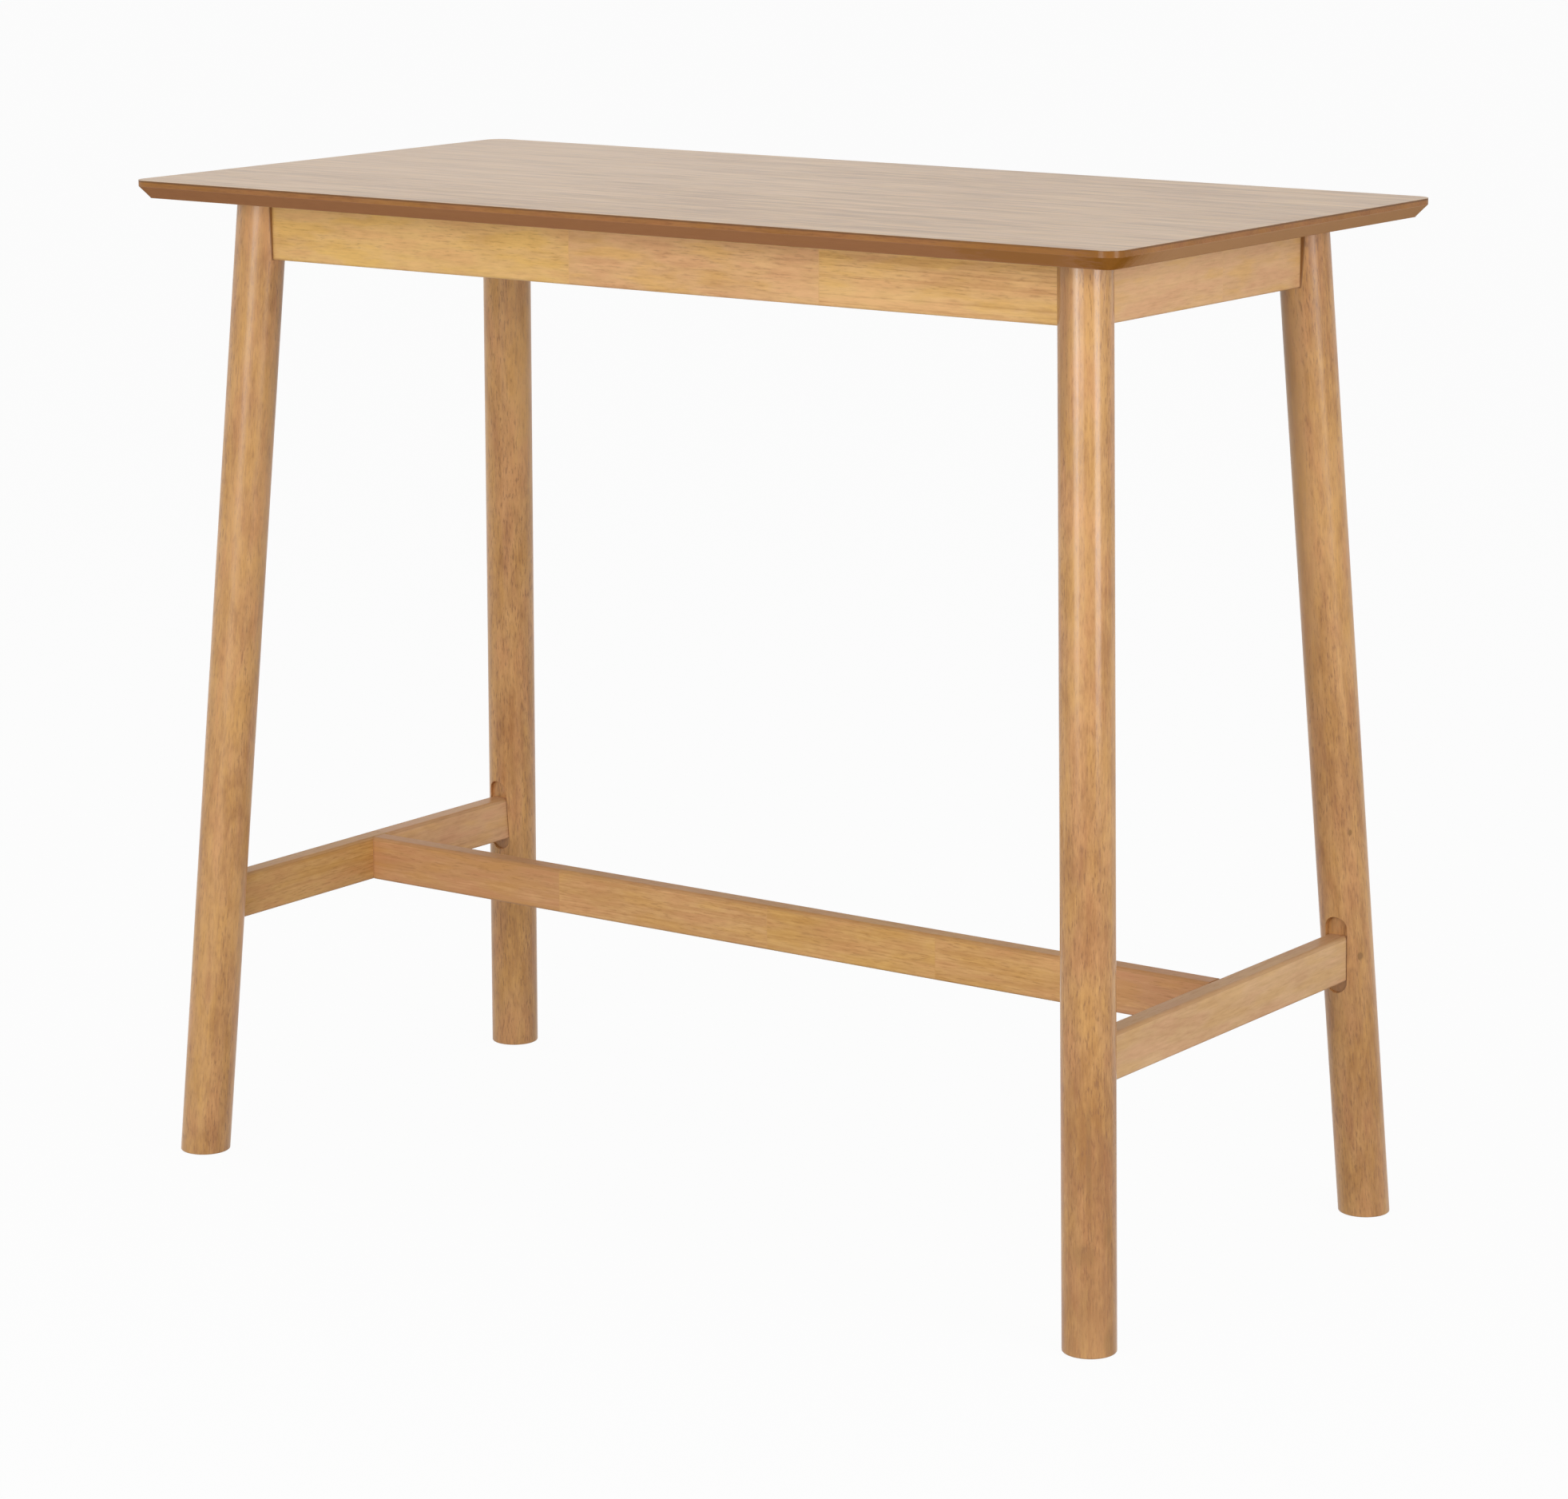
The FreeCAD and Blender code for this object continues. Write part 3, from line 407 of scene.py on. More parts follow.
def addMarks(colour, plank, grain, mottle, fleck):
    # knots, darker figure and a darker rim corner, with painted shade on a leg's head and a patch of
    # painted sheen on the top, as soft-edged ellipsoids in the grain's frame
    for mark in plank["marks"]:
        gap = grain.node("ShaderNodeVectorMath", {"operation": "SUBTRACT"}, {0: grain, 1: mark["at"]})
        gap = grain.node("ShaderNodeVectorMath", {"operation": "DIVIDE"}, {0: gap, 1: mark["reach"]})
        distance = grain.node("ShaderNodeVectorMath", {"operation": "LENGTH"}, {0: gap}, "Value")
        distance = distance + mottle.swing(plank["markMottle"]) + fleck.swing(plank["markFlecks"])
        colour = (distance.ramp(*plank["markReach"]) * mark["share"]).blend(colour, mark["colour"])
    return colour


def woodMaterial(name, direction, centre, halfSize=None, **changes):
    plank = {**plankDefaults, **changes}
    material, tree = newMaterial(name)
    place = addNode(tree, "ShaderNodeTexCoord", None, None, "Object")
    grain = addNode(tree, "ShaderNodeMapping", {"vector_type": "TEXTURE"},
                    {"Vector": place, "Location": centre, "Rotation": grainTurn(direction)})
    across, upward, along = grain.parts()

    shift, tone, veins, redness = patternStep["seed"] * plank["seed"], plank["tone"], plank["veins"], 0.0
    for start, darker, moreVeins, redder in plank["staves"]:  # each glued stave is another piece of wood
        past = along.ramp(start - glueLine, start + glueLine)
        shift = shift + past * patternStep["stave"]
        tone = tone + past * darker
        veins = veins + past * moreVeins
        redness = redness + past * redder
    # painted shade, partly the wood's tone: the leg darkens towards its foot
    if plank["footShade"]:
        tone = tone + along.ramp(*plank["footReach"]) * plank["footShade"]
    move = place.node("ShaderNodeCombineXYZ", None, {0: shift, 1: shift, 2: shift})
    fibre = grain.shifted(move)

    figure = {layer: fibre.stretched(*plank[layer + "Size"]).noise(1.0, *noise)
              for layer, noise in layers.items()}
    names = ("cloud", "mottle", "streak", "fleck", "hue")
    cloud, mottle, streak, fleck, hue = (figure[layer] for layer in names)
    patch = figure["patch"].ramp(*plank["patchReach"])
    vein = (figure["vein"] - 0.5).size().ramp(*plank["veinReach"])
    line = growthLines(plank, across, upward, figure)
    uneven = plank["mottleLeast"] + mottle
    pore = fleck.ramp(*plank["poreReach"]) * (plank["poreLeast"] + patch)

    depth = (tone + cloud.swing(plank["cloud"]) + mottle.swing(plank["mottle"])
             + streak.swing(plank["streak"]) + fleck.swing(plank["flecks"])
             + (line - plank["lineMiddle"]) * plank["lines"] + patch.swing(plank["patch"])
             + vein * veins * uneven)
    colour = depth.ramp(*plank["darkReach"]).blend(plank["pale"], plank["dark"])
    for tint in ("golden", "rosy"):
        share = hue.ramp(*plank[tint + "Reach"], 0.0, plank[tint])
        colour = share.blend(colour, plank[tint + "Tint"], "MULTIPLY")
    if plank["staves"]:
        colour = redness.blend(colour, plank["redTint"], "MULTIPLY")
    colour = (pore * plank["pores"]).blend(colour, plank["pore"])
    if halfSize:
        wear = edgeWear(plank, (across, upward, along), halfSize) * uneven
        colour = (wear * plank["edge"]).blend(colour, plank["pore"])
    if plank["stainsAndShading"]:
        colour = addStainsAndShading(colour, place.parts(), plank["stainsAndShading"])
    colour = addMarks(colour, plank, grain, mottle, fleck)

    gloss = plank["roughness"] + cloud.swing(plank["roughClouds"]) + pore * plank["roughPores"]
    sheen = plank["coatLevel"] + fleck.swing(plank["coatFlecks"]) + streak.swing(plank["coatStreaks"])
    sheen = plank["coat"] * sheen
    if plank["coatAbove"]:
        sheen = sheen * place.parts()[2].ramp(plank["coatAbove"] - boxBlur, plank["coatAbove"])
    height = (fleck.swing(plank["grainFlecks"]) - pore * plank["grainPores"]
              + streak.swing(plank["grainStreaks"]))
    bump = addNode(tree, "ShaderNodeBump", None,
                   {"Strength": plank["grainStrength"], "Distance": plank["grainDepth"], "Height": height})
    finishSurface(tree, {"Base Color": colour, "Roughness": gloss, "Normal": bump,
                         "Specular IOR Level": plank["specular"], "Coat Weight": sheen,
                         "Coat Roughness": plank["coatRoughness"], "Coat IOR": plank["coatIor"]})
    return material


def cornerSigns(name):
    # the signs of x and y at a corner of the table
    return -1.0 if "left" in name else 1.0, -1.0 if "front" in name else 1.0


def boxCentre(node):
    low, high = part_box(node)
    return (low + high) / 2


def halfAlong(node, direction):
    # half sizes across, upward and along in the turned frame
    low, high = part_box(node)
    half = (high - low) / 2
    turn = grainTurn(direction).to_matrix().transposed()
    turned = turn @ Vector(half)
    return tuple(abs(value) for value in turned)


lengthwise = (1.0, 0.0, 0.0)
widthwise = (0.0, 1.0, 0.0)

# the stretchers' upper faces are painted darker than their sides
darkerTopFaces = {"low": (None, None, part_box("centre_stretcher")[1].z - 0.0035), "high": (None, None, None),
             "share": 0.45, "colour": (0.42, 0.215, 0.085)}

boards = {  # a stave: where it starts along the board, how much darker, more veined and redder it is
    "front_apron": {"direction": lengthwise, "seed": 1.0, "tone": 0.42, "cloud": 1.3,
                    "pale": (0.84, 0.54, 0.215), "dark": (0.64, 0.365, 0.135),
                    "staves": ((-0.0925, 0.12, 0.0, 0.35), (0.2125, -0.14, 0.5, -0.2))},
    "back_apron": {"direction": lengthwise, "seed": 2.0, "tone": 0.46,
                   "staves": ((-0.21, 0.12, 0.1, 0.2), (0.14, -0.16, 0.0, -0.2))},
    "left_apron": {"direction": widthwise, "seed": 3.0, "tone": 0.46},
    "right_apron": {"direction": widthwise, "seed": 4.0, "pores": 0.05, "lines": 0.05,
                    "pale": (0.80, 0.50, 0.255), "dark": (0.63, 0.36, 0.17), "tone": 0.36,
                    "staves": ((0.03, 0.14, 0.0, 0.0),)},
    "left_end_stretcher": {"direction": widthwise, "seed": 5.0, "tone": 0.72, "veins": 0.45, "golden": 0.35,
                           "staves": ((0.015, -0.40, -0.3, 0.5),), "stainsAndShading": (darkerTopFaces,)},
    "right_end_stretcher": {"direction": widthwise, "seed": 6.0, "tone": 0.58, "coat": 0.2, "pores": 0.05,
                            "flecks": 0.5, "golden": 0.25, "pale": (0.76, 0.49, 0.265),
                            "dark": (0.58, 0.34, 0.165), "stainsAndShading": (darkerTopFaces,)},
    "centre_stretcher": {"direction": lengthwise, "seed": 7.0, "tone": 0.88, "veins": 0.15, "coat": 0.2,
                         "golden": 0.35, "stainsAndShading": (darkerTopFaces,),
                         "staves": ((-0.6, 0.0, 0.35, 0.4), (-0.275, -0.30, -0.2, -0.2),
                                    (0.0025, 0.0, 0.0, -0.2), (0.215, 0.08, 0.0, 0.1),
                                    (0.37, 0.10, 0.55, 0.5))},
}


def finishBoards(values):
    for name, board in values.items():
        board = dict(board)
        direction = board.pop("direction")
        half = halfAlong(name, direction)
        giveMaterial(name, woodMaterial(name + "_wood", direction, boxCentre(name), half, **board))
    print("boards finished:", len(values))


finishBoards(boards)

legs = {
    "housingFloor": 0.22807,  # the end stretcher's square end, from the table's middle
    "housingHalf": 0.0125,  # half its width
    "housingReach": (0.23, 0.27),  # of its floor, low and high
    "seatDrop": 0.0004,  # the milled seats end this far below the aprons
    # shares of painted shade: the seats are partly milled wood and partly the crevice's shade, the housing
    # floor under the stretcher is shade
    "seatShadeShare": 0.75,
    "housingShadeShare": 0.3,
    "milled": (0.22, 0.095, 0.028),
    "wood": {"pale": (0.66, 0.365, 0.14), "dark": (0.37, 0.165, 0.052), "golden": 0.35, "tone": 0.36,
             "pores": 0.4, "cloud": 1.1, "mottle": 0.9, "flecks": 0.8, "fleckSize": (600.0, 100.0),
             "lines": 0.12, "ringWidth": 0.014, "wander": 0.09, "coatRoughness": 0.2, "coatIor": 1.6},
    # darker wood for knots and figure, also laid as painted shade on the front right leg's head
    "figure": (0.30, 0.145, 0.045),
    "looks": {
        "front_left_leg": {"seed": 11.0, "pith": (0.035, 0.02), "footShade": 0.1, "coat": 0.8,
                           "coatRoughness": 0.33},
        "front_right_leg": {"seed": 12.0, "pith": (0.012, 0.02), "footShade": 0.27, "tone": 0.45,
                            "coat": 0.75, "coatRoughness": 0.18},
        "back_left_leg": {"seed": 13.0, "pith": (0.05, -0.02), "footShade": 0.2, "tone": 0.31,
                          "coat": 0.75, "coatRoughness": 0.3},
        "back_right_leg": {"seed": 14.0, "pith": (0.03, 0.04), "footShade": 0.15, "tone": 0.44,
                           "coat": 0.75, "coatRoughness": 0.3},
    },
    "marks": {  # place and reach in the leg's grain, and share
        "front_right_leg": (
            # the first is painted shade on one side of the leg's head below the apron and top; the rest are
            # knots and figure near the foot
            ((0.024, 0.006, 0.99), (0.016, 0.02, 0.16), 0.45),
            ((0.004, 0.026, 0.192), (0.0035, 0.02, 0.06), 0.5),
            ((0.008, 0.025, 0.098), (0.016, 0.02, 0.014), 0.4),
            ((-0.015, 0.022, 0.118), (0.004, 0.02, 0.012), 0.5),
            ((-0.001, 0.026, 0.048), (0.02, 0.02, 0.05), 0.25),
            ((-0.016, 0.021, 0.012), (0.008, 0.02, 0.02), 0.4),
        ),
        "back_right_leg": (
            ((0.0, -0.026, 0.80), (0.03, 0.022, 0.32), 0.4),
            ((0.0261, 0.0046, 0.2822), (0.005, 0.005, 0.0055), 1.8),
            ((0.0265, 0.0015, 0.4127), (0.003, 0.003, 0.0045), 1.4),
        ),
    },
}


def milledPlaces(values, sideX, sideY):
    # the two apron seats on the head, darkened partly as milled wood and partly as painted shade in the
    # crevice at each apron's end, and the floor of the stretcher's housing under the stretcher, darkened as
    # painted shade
    apronLow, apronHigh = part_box("front_apron")
    seatX = sideX * apronHigh.x
    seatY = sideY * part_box("right_apron")[1].y
    bottom = apronLow.z - values["seatDrop"]
    floorY = sideY * values["housingFloor"]
    middle = sideX * boxCentre("right_end_stretcher").x
    half = values["housingHalf"]
    floorLow, floorHigh = values["housingReach"]
    seat = {"share": values["seatShadeShare"], "colour": values["milled"]}
    floor = {"share": values["housingShadeShare"], "colour": values["milled"]}
    return (
        {"low": (seatX - boxBlur, None, bottom), "high": (seatX + boxBlur, None, None), **seat},
        {"low": (None, seatY - boxBlur, bottom), "high": (None, seatY + boxBlur, None), **seat},
        {"low": (middle - half, floorY - boxBlur, floorLow),
         "high": (middle + half, floorY + boxBlur, floorHigh), **floor},
    )


def finishLegs(values):
    head = Vector((boxCentre("right_apron").x, boxCentre("back_apron").y, boxCentre("right_apron").z))
    glide = boxCentre("back_right_foot_glide")
    splayX, splayY = (glide.x - head.x) / head.z, (glide.y - head.y) / head.z
    for name, look in values["looks"].items():
        sideX, sideY = cornerSigns(name)
        direction = (-sideX * splayX, -sideY * splayY, 1.0)
        foot = (sideX * glide.x, sideY * glide.y, 0.0)
        marks = [{"at": at, "reach": reach, "share": share, "colour": values["figure"]}
                 for at, reach, share in values["marks"].get(name, ())]
        wood = {**values["wood"], **look, "stainsAndShading": milledPlaces(values, sideX, sideY), "marks": marks}
        giveMaterial(name, woodMaterial(name + "_wood", direction, foot, **wood))
    print("legs finished:", len(values["looks"]))


finishLegs(legs)

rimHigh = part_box("tabletop_core")[1]
rim = {
    "landLow": rimHigh.z - 0.006,  # the undercut starts here
    "veneerLow": rimHigh.z + 0.0001,  # the veneer's cut edge is dark up to here
    "lineLow": rimHigh.z - 0.0013,  # and the board's edge from here
    "inside": Vector((rimHigh.x - 0.0132, rimHigh.y - 0.0132)),  # the undercut's inner edge
    "fades": (-0.268, -0.254, -0.24, -0.226, -0.212, -0.198),  # the right undercut turns paler in steps
    "edgeLine": (0.12, 0.055, 0.025),
}

tabletop = {
    "tabletop_face_veneer": {
        "pale": (0.59, 0.385, 0.205), "dark": (0.28, 0.148, 0.058), "pore": (0.20, 0.10, 0.05),
        "cloud": 1.4, "cloudSize": (60.0, 4.0), "mottle": 1.6, "mottleSize": (170.0, 9.0), "streak": 1.8,
        "streakSize": (420.0, 14.0), "flecks": 1.2, "fleckSize": (640.0, 40.0), "golden": 0.2,
        "rosy": 0.2, "seed": 21.0, "roughness": 0.5, "coat": 0.82, "coatRoughness": 0.3,
        "marks": (
            # painted sheen: a paler, whiter patch over the left end of the top
            {"at": (0.1, 0.0, -0.55), "reach": (0.6, 0.3, 0.8), "share": 0.35,
             "colour": (0.62, 0.44, 0.29)},
        ),
        "stainsAndShading": (
            {"low": (None, None, None), "high": (None, None, rim["veneerLow"]), "share": 1.0,
             "colour": rim["edgeLine"]},
        )},
    "tabletop_core": {
        "pale": (0.38, 0.172, 0.055), "dark": (0.24, 0.095, 0.027), "pore": (0.10, 0.04, 0.018),
        "cloud": 0.6, "mottle": 0.6, "lines": 0.0, "seed": 22.0, "coat": 0.5, "coatAbove": rim["landLow"],
        "specular": 0.0,
        "marks": (
            # the rim's near right corner and front edge are painted darker and more saturated
            {"at": (-0.298, 0.0, 0.598), "reach": (0.05, 0.05, 0.055), "share": 0.9,
             "colour": (0.25, 0.095, 0.012)},
            {"at": (-0.299, 0.0, 0.5), "reach": (0.02, 0.04, 0.11), "share": 0.5,
             "colour": (0.29, 0.12, 0.018)},
        ),
        "stainsAndShading": (
            # painted light: the front undercut faces down and is painted paler than the rest of the core
            {"low": (None, None, None), "high": (None, -rim["inside"].y, rim["landLow"]), "share": 0.8,
             "colour": (0.36, 0.165, 0.078)},
            *({"low": (rim["inside"].x, start, None), "high": (None, None, rim["landLow"]), "share": 0.25,
               "colour": (0.47, 0.26, 0.13)} for start in rim["fades"]),
            {"low": (None, None, rim["lineLow"]), "high": (None, None, None), "share": 0.6,
             "colour": rim["edgeLine"]},
        )},
    "tabletop_backing_veneer": {
        "pale": (0.36, 0.19, 0.09), "dark": (0.24, 0.115, 0.05), "cloud": 0.6, "streak": 0.9,
        "seed": 23.0, "coat": 0.0, "roughness": 0.62},
}


def finishTop(values):
    for name, look in values.items():
        giveMaterial(name, woodMaterial(name + "_wood", lengthwise, boxCentre(name), **look))
    print("top finished")


finishTop(tabletop)

corners = ("front_left", "front_right", "back_left", "back_right")

fittings = {  # cloud and grain: a noise's scale, detail and roughness
    "zincPlate": {"nodes": ("leg_bolt_washers", "half_moon_washers", "top_brackets"), "metallic": 1.0,
                  "colour": (0.62, 0.63, 0.62), "darker": (0.42, 0.43, 0.44), "share": 0.35,
                  "contrast": 1.6, "cloud": (90.0, 3.0, 0.6), "grain": (900.0, 2.0, 0.6),
                  "grainStrength": 0.25, "grainDepth": 0.00006, "roughness": 0.34, "uneven": 0.25},
    "machinedBrass": {"nodes": ("stretcher_inserts",), "metallic": 1.0, "colour": (0.78, 0.57, 0.25),
                      "darker": (0.55, 0.37, 0.14), "share": 0.35, "contrast": 1.6,
                      "cloud": (90.0, 3.0, 0.6), "grain": (900.0, 2.0, 0.6), "grainStrength": 0.25,
                      "grainDepth": 0.00006, "roughness": 0.28, "uneven": 0.25},
    "mouldedNylon": {"nodes": [corner + "_foot_glide" for corner in corners], "metallic": 0.0,
                     "colour": (0.70, 0.68, 0.62), "darker": (0.52, 0.50, 0.45), "share": 0.4,
                     "contrast": 1.4, "cloud": (140.0, 3.0, 0.6), "grain": (1600.0, 1.0, 0.5),
                     "grainStrength": 0.3, "grainDepth": 0.00008, "roughness": 0.5, "uneven": 0.2},
}


def fittingMaterial(name, look):
    material, tree = newMaterial(name)
    place = addNode(tree, "ShaderNodeTexCoord", None, None, "Object")
    cloud = place.noise(*look["cloud"])
    grain = place.noise(*look["grain"])
    shade = look["share"] + cloud.swing(look["contrast"])
    colour = shade.ramp(0.0, 1.0).blend(look["colour"], look["darker"])
    bump = addNode(tree, "ShaderNodeBump", None,
                   {"Strength": look["grainStrength"], "Distance": look["grainDepth"], "Height": grain})
    finishSurface(tree, {"Base Color": colour, "Metallic": look["metallic"], "Normal": bump,
                         "Roughness": look["roughness"] + cloud.swing(look["uneven"])})
    return material


finishes = {name: fittingMaterial(name, look) for name, look in fittings.items()}
for name, look in fittings.items():
    for node in look["nodes"]:
        giveMaterial(node, finishes[name])
print("fittings finished")

hiddenWood = {
    "block": {"pale": (0.66, 0.47, 0.27), "dark": (0.45, 0.27, 0.12), "coat": 0.0, "roughness": 0.7},
    "dowel": {"pale": (0.72, 0.52, 0.30), "dark": (0.52, 0.34, 0.17), "coat": 0.0, "roughness": 0.7},
}


def finishHiddenWood(values):
    for number, corner in enumerate(corners):
        name = corner + "_corner_block"
        sideX, sideY = cornerSigns(corner)
        giveMaterial(name, woodMaterial(name + "_wood", (sideX, -sideY, 0.0), boxCentre(name),
                                        seed=31.0 + number, **values["block"]))
    print("hidden wood finished")


finishHiddenWood(hiddenWood)
dowelWood = woodMaterial("dowelWood", lengthwise, (0.0, 0.0, 0.0), **hiddenWood["dowel"])

# hardware made by Geometry Nodes: each tree builds one fastener along +z and sets it on marked points

facets = {"shank": 24, "head": 40, "nut": 60, "hole": 32, "flute": 6}
spinSeed = 7
sharpAngle = math.radians(38.0)

forms = {  # shares of a radius, a height or a length, unless a comment says otherwise
    "crestSteep": 1.6,  # with the next, they leave a flat root between a wood thread's crests
    "crestDrop": 0.6,
    "machineFade": 0.002,  # metres in which a machine thread runs out
    "pointLeast": 0.04,
    "startReach": 0.0008,  # metres of bevel at a shank's start
    "startBevel": 0.1,
    "headTaper": 0.13,
    "headPower": 4.0,  # of the rise, so a head narrows at one end only
    "headDome": 0.3,
    "recessLong": 1.1,
    "recessWide": 0.22,
    "recessDeep": 1.1,
    "nutBevel": (0.33, 0.5),
    "nutCorner": 0.86,
    "flutePower": 3.0,  # of a cosine, so the flutes are narrow
    "dowelBevel": 0.16,
}


def newTree(name, sizes):
    tree = bpy.data.node_groups.new(name, "GeometryNodeTree")
    tree.interface.new_socket("Geometry", in_out="INPUT", socket_type="NodeSocketGeometry")
    for size, value in sizes.items():
        kind = "NodeSocketInt" if isinstance(value, int) else "NodeSocketFloat"
        tree.interface.new_socket(size, in_out="INPUT", socket_type=kind).default_value = value
    tree.interface.new_socket("Material", in_out="INPUT", socket_type="NodeSocketMaterial")
    tree.interface.new_socket("Geometry", in_out="OUTPUT", socket_type="NodeSocketGeometry")
    group = addNode(tree, "NodeGroupInput", None, None, None)
    return tree, {socket.name: Sock(socket) for socket in group.outputs if socket.name}


def turnedBar(tree, sides, rings, radius, length, capRings=1):
    bar = addNode(tree, "GeometryNodeMeshCylinder", {"fill_type": "NGON"},
                  {"Vertices": sides, "Side Segments": rings, "Fill Segments": capRings, "Radius": radius,
                   "Depth": length}, "Mesh")
    x, y, z = addNode(tree, "GeometryNodeInputPosition").parts()
    return bar, x, y, z


def reshape(bar, x, y, z):
    place = bar.node("ShaderNodeCombineXYZ", None, {0: x, 1: y, 2: z})
    return bar.node("GeometryNodeSetPosition", None, {"Geometry": bar, "Position": place})


def cut(operation, first, others):
    return others[0].node("GeometryNodeMeshBoolean", {"operation": operation, "solver": "EXACT"},
                          {**({"Mesh 1": first} if first else {}), "Mesh 2": others}, "Mesh")


def threadedShank(tree, given, machineEnd=0.0):
    # a bar with a real helix cut into it; one end can carry a finer machine thread
    length, pitch = given["length"], given["pitch"]
    rings = length / given["fineness"]
    bar, x, y, z = turnedBar(tree, facets["shank"], rings, given["thread radius"], length)
    up = z + length / 2.0
    turn = y.maths("ARCTAN2", y, x) / (2.0 * math.pi)
    wave = up / pitch - turn
    crest = ((wave.maths("FRACT", wave) * 2.0 - 1.0).size() * forms["crestSteep"]
             - forms["crestDrop"]).most(0.0)
    depth = crest * up.ramp(given["plain"], given["plain"] + pitch)
    if machineEnd:
        fine = up / given["machine pitch"] - turn
        fade = machineEnd - forms["machineFade"]
        groove = (fine.maths("FRACT", fine) * 2.0 - 1.0).size()
        depth = depth.most(groove * up.ramp(machineEnd, fade))
        depth = depth.most(up.ramp(fade, machineEnd) * up.ramp(given["plain"] + pitch, given["plain"]))
    point = ((length - up) / given["point"]).least(1.0).most(forms["pointLeast"])
    start = (up / forms["startReach"]).least(1.0) * forms["startBevel"] + (1.0 - forms["startBevel"])
    share = (given["core share"] + (1.0 - given["core share"]) * depth) * point * start
    return reshape(bar, x * share, y * share, up)


def setOnPoints(tree, given, fastener):
    direction = addNode(tree, "GeometryNodeInputNamedAttribute", {"data_type": "FLOAT_VECTOR"},
                        {"Name": "direction"}, "Attribute")
    aim = addNode(tree, "FunctionNodeAlignRotationToVector", {"axis": "Z"}, {"Vector": direction},
                  "Rotation")
    turn = addNode(tree, "FunctionNodeRandomValue", {"data_type": "FLOAT"},
                   {"Min": 0.0, "Max": given["spin"], "Seed": spinSeed}, "Value")
    spin = addNode(tree, "FunctionNodeAxisAngleToRotation", None, {"Axis": (0.0, 0.0, 1.0), "Angle": turn})
    turned = addNode(tree, "FunctionNodeRotateRotation", {"rotation_space": "LOCAL"},
                     {"Rotation": aim, "Rotate By": spin})
    placed = addNode(tree, "GeometryNodeInstanceOnPoints", None,
                     {"Points": given["Geometry"], "Instance": fastener, "Rotation": turned})
    real = addNode(tree, "GeometryNodeRealizeInstances", None, {"Geometry": placed})
    done = addNode(tree, "GeometryNodeSetMaterial", None, {"Geometry": real, "Material": given["Material"]})
    addNode(tree, "NodeGroupOutput", None, {"Geometry": done}, None)
    return tree


def screwTree():
    tree, given = newTree("wood_screw", {"head radius": 0.004, "head height": 0.003,
                                         "thread radius": 0.002, "core share": 0.7, "length": 0.024,
                                         "pitch": 0.0018, "fineness": 0.0003, "plain": 0.004,
                                         "point": 0.003, "spin": 6.28})
    radius, height = given["head radius"], given["head height"]
    bar, x, y, z = turnedBar(tree, facets["head"], 6, radius, height, 5)
    rise = 0.5 - z / height
    out = (x * x + y * y) / (radius * radius)
    share = 1.0 - forms["headTaper"] * rise ** forms["headPower"]
    head = reshape(bar, x * share, y * share, -1.0 * height * rise * (1.0 - forms["headDome"] * out))
    arms = []
    long, wide = forms["recessLong"], forms["recessWide"]
    for acrossX, acrossY in ((long, wide), (wide, long)):  # cross recess
        size = radius.node("ShaderNodeCombineXYZ", None,
                           {0: radius * acrossX, 1: radius * acrossY, 2: height * forms["recessDeep"]})
        arm = radius.node("GeometryNodeMeshCube", None, {"Size": size}, "Mesh")
        place = radius.node("ShaderNodeCombineXYZ", None, {2: -1.0 * height})
        arms.append(arm.node("GeometryNodeTransform", None, {"Geometry": arm, "Translation": place}))
    head = cut("DIFFERENCE", head, arms)
    shank = threadedShank(tree, given)
    whole = addNode(tree, "GeometryNodeJoinGeometry", None, {"Geometry": [head, shank]})
    return setOnPoints(tree, given, whole)


def rodTree(name, machineEnd):
    tree, given = newTree(name, {"thread radius": 0.004, "core share": 0.8, "length": 0.05,
                                 "pitch": 0.003, "machine pitch": 0.00125, "fineness": 0.0002,
                                 "plain": 0.036, "point": 0.003, "spin": 0.0})
    return setOnPoints(tree, given, threadedShank(tree, given, machineEnd))


def nutTree():
    tree, given = newTree("hex_nut", {"flats": 0.013, "height": 0.0065, "hole radius": 0.0042, "spin": 0.0})
    corner = given["flats"] / math.sqrt(3.0)
    prism = turnedBar(tree, 6, 1, corner, given["height"])[0]
    bar, x, y, z = turnedBar(tree, facets["nut"], 12, corner, given["height"])
    share = (z / given["height"]).size().ramp(*forms["nutBevel"], 1.0, forms["nutCorner"])
    rounded = reshape(bar, x * share, y * share, z)
    blank = cut("INTERSECT", None, [prism, rounded])
    hole = turnedBar(tree, facets["hole"], 1, given["hole radius"], given["height"] * 2.0)[0]
    return setOnPoints(tree, given, cut("DIFFERENCE", blank, [hole]))


def dowelTree():
    tree, given = newTree("fluted_dowel", {"radius": 0.005, "length": 0.035, "flutes": 20,
                                           "flute depth": 0.0004, "bevel": 0.0015, "spin": 6.28})
    radius, length = given["radius"], given["length"]
    bar, x, y, z = turnedBar(tree, given["flutes"] * facets["flute"], 24, radius, length)
    angle = y.maths("ARCTAN2", y, x) * given["flutes"]
    groove = (angle.maths("COSINE", angle) * 0.5 + 0.5) ** forms["flutePower"]
    ends = ((length / 2.0 - z.size()) / given["bevel"]).least(1.0)
    ends = ends * forms["dowelBevel"] + (1.0 - forms["dowelBevel"])
    share = (1.0 - groove * given["flute depth"] / radius) * ends
    return setOnPoints(tree, given, reshape(bar, x * share, y * share, z + length / 2.0))


